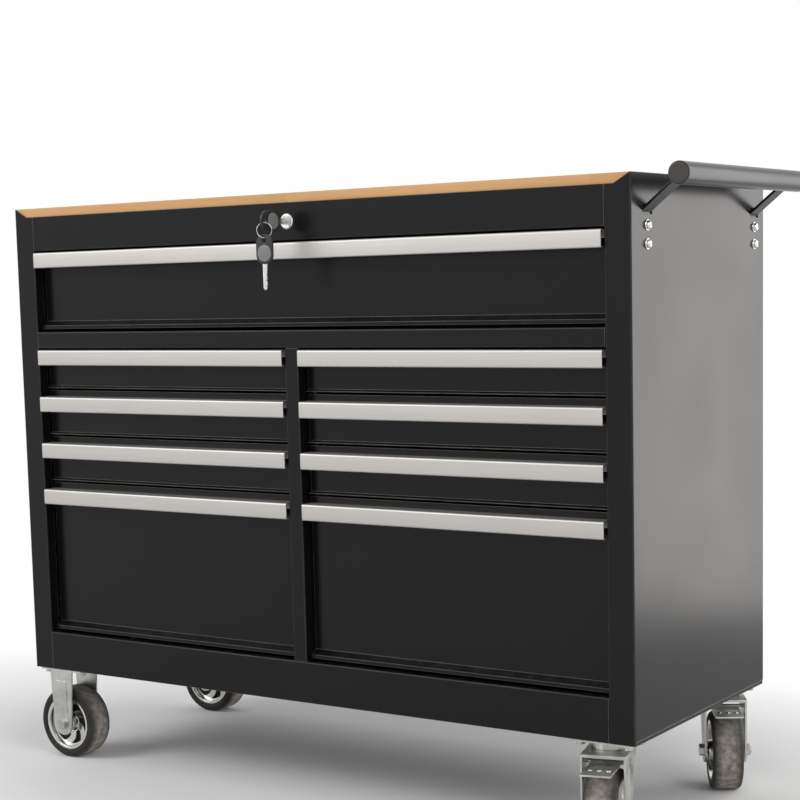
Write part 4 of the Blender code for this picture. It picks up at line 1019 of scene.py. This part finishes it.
# %% Lock face, keys and ring in place
lock_centre = Vector(joints["key_turn"]["pos_m"])
ring_top = Vector(joints["ring_swing"]["pos_m"])
spare_top = Vector(joints["spare_key_swing"]["pos_m"])
RING_DROP = 0.0025
face_profile = [(0.0001, LOCK_FACE_RADIUS), (0.0012, LOCK_FACE_RADIUS), (0.0022, LOCK_FACE_RADIUS - 0.0009)]
face_profile += [(0.0028, LOCK_FACE_RADIUS - 0.0028), (0.0027, LOCK_BORE + 0.0009), (0.0023, LOCK_BORE)]
face_profile += [(-0.0230, LOCK_BORE), (-0.0230, 0.0095), (0.0001, 0.0095)]
lock_shape = lathe(face_profile, steps=72, closed=True)
outwards = Matrix.Translation(lock_centre) @ Matrix.Rotation(math.radians(-90.0), 4, "Z")
lock_face = add_object("lock_face", lock_shape, bright_plate, "cabinet", outwards)
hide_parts("lock_barrel")

upright = Matrix(((0, 0, 1, 0), (1, 0, 0, ring_top.y), (0, 1, 0, lock_centre.z), (0, 0, 0, 1)))
hanging = Matrix(((0, 1, 0, 0), (0, 0, -1, spare_top.y), (-1, 0, 0, spare_top.z - RING_DROP), (0, 0, 0, 1)))
for key_name, body, place in (("key", "lock_core", upright), ("spare_key", "spare_key", hanging)):
    for part_mesh, part_name, finish, slot_name in key_parts:
        piece = add_object(f"{key_name}_{part_name}", part_mesh.copy(), finish, body, place)
        if part_name == "head":
            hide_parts(key_name)

stand = Matrix.Translation(ring_top) @ Matrix.Rotation(math.radians(45.0), 4, "Z")
ring = add_object("split_ring", ring_shape, key_steel, "key_ring", stand)
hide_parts("key_ring")
print("lock at", [round(v, 4) for v in lock_centre])

# %% [markdown]
# ## Drawer pulls
# A pull is an aluminium extrusion: one section all along, cut to length at both ends. The solids have
# that section with few facets. Here the same section is drawn with fine curves and the cut ends get a
# tiny rounding, so that light runs along the edges.

# %% Pull section and lengths
PULL_HEIGHT = 0.026
PULL_WALL = 0.0018
PULL_SEAT = 0.012
PULL_LIP = 0.006
PULL_CROWN = 0.0032
PULL_CHIN = 0.0024


def pull_section(face, seat, top):
    """The section of a pull in (y, z): up the seat, over the crown, down the face and under the lip."""
    bottom = top - PULL_HEIGHT
    outer = [(seat, top - PULL_SEAT), (seat, top)]
    outer += arc(PULL_CROWN, 90.0, 180.0, 8, (face + PULL_CROWN, top - PULL_CROWN))
    outer += arc(PULL_CHIN, 180.0, 270.0, 8, (face + PULL_CHIN, bottom + PULL_CHIN))
    outer += [(face + PULL_LIP + PULL_WALL, bottom)]
    inner_crown = PULL_CROWN - PULL_WALL
    inner_chin = PULL_CHIN - PULL_WALL
    inner = [(face + PULL_LIP + PULL_WALL, bottom + PULL_WALL)]
    inner += arc(inner_chin, 270.0, 180.0, 4, (face + PULL_CHIN, bottom + PULL_CHIN))
    inner += arc(inner_crown, 180.0, 90.0, 4, (face + PULL_CROWN, top - PULL_CROWN))
    inner += [(seat - PULL_WALL, top - PULL_WALL), (seat - PULL_WALL, top - PULL_SEAT)]
    return outer + inner


DRAWERS = [node[len("drawer_"):-len("_pull")] for node in nodes if node.endswith("_pull")]
for drawer in DRAWERS:
    low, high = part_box(f"drawer_{drawer}_pull")
    section = pull_section(low[1], high[1], high[2])
    bar = rounded_plate([section], high[0] - low[0], 0.0003, 2)
    stand = Matrix(((0, 0, 1, (low[0] + high[0]) / 2), (1, 0, 0, 0), (0, 1, 0, 0), (0, 0, 0, 1)))
    pull = add_object(f"pull_{drawer}", moved(bar, stand), aluminium, f"drawer_{drawer}")
    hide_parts(f"drawer_{drawer}_pull")
print("pulls:", DRAWERS)

# %% [markdown]
# ## Drawer trays
# The top edges of a folded tray are hemmed: the sheet is turned over, so no sharp edge is left. A thin
# bead round the tray's rim makes that hem. It takes its place from the room inside the tray, which
# the record states.

# %% Hemmed rims
HEM_RADIUS = 0.0013
RIM_MARGIN = 0.0015
rooms = {room["name"]: room["box_m"] for room in frame["record"]["physics"]["openings"]}
for drawer in DRAWERS:
    low, high = rooms[f"drawer_{drawer}_inside"]
    top = high[2] - HEM_RADIUS * 0.4
    corners = [(low[0], low[1]), (low[0], high[1]), (high[0], high[1]), (high[0], low[1])]
    points = [(x + math.copysign(RIM_MARGIN, x - sum(p[0] for p in corners) / 4), y, top) for x, y in corners]
    hem = wire(points, HEM_RADIUS, resolution=2)
    add_object(f"tray_hem_{drawer}", hem, enamel, f"drawer_{drawer}")
print("hems:", len(DRAWERS))

# %% [markdown]
# ## Brake pedals
# Each swivel caster has a sheet-steel brake lever over its wheel. Its tread plate gets three raised pips
# for a grip. They are measured from the lever's own hinge, so they stay on the plate when it is pressed.

# %% Pips on the brake pedals
PIP_RADIUS = 0.0034
PIP_HEIGHT = 0.0016
PIP_SPACING = 0.013
PIP_REACH = 0.0587
PIP_RISE = 0.0020
PEDAL_SLOPE = -1.4
pip_profile = [(PIP_HEIGHT * y, PIP_RADIUS * x) for x, y in arc(1.0, 0.0, 90.0, 6)]
pip_profile[-1] = (PIP_HEIGHT, 0.0)
pip_shape = lathe([(-0.0004, PIP_RADIUS)] + pip_profile, steps=24)
pip = moved(pip_shape, Matrix.Rotation(math.radians(-90.0), 4, "Y"))
pips = []
for i in (-1, 0, 1):
    tilt = Matrix.Rotation(math.radians(PEDAL_SLOPE), 4, "X")
    pips.append(moved(pip, Matrix.Translation((i * PIP_SPACING, -PIP_REACH, PIP_RISE)) @ tilt))
pip_row = merged(*pips)
for caster in CASTERS[2:]:
    hinge = axle_matrix(caster + "_brake_press")
    add_object(caster + "_pedal_pips", pip_row.copy(), bright_plate, caster + "_brake", hinge)
print("pips:", len(pips))
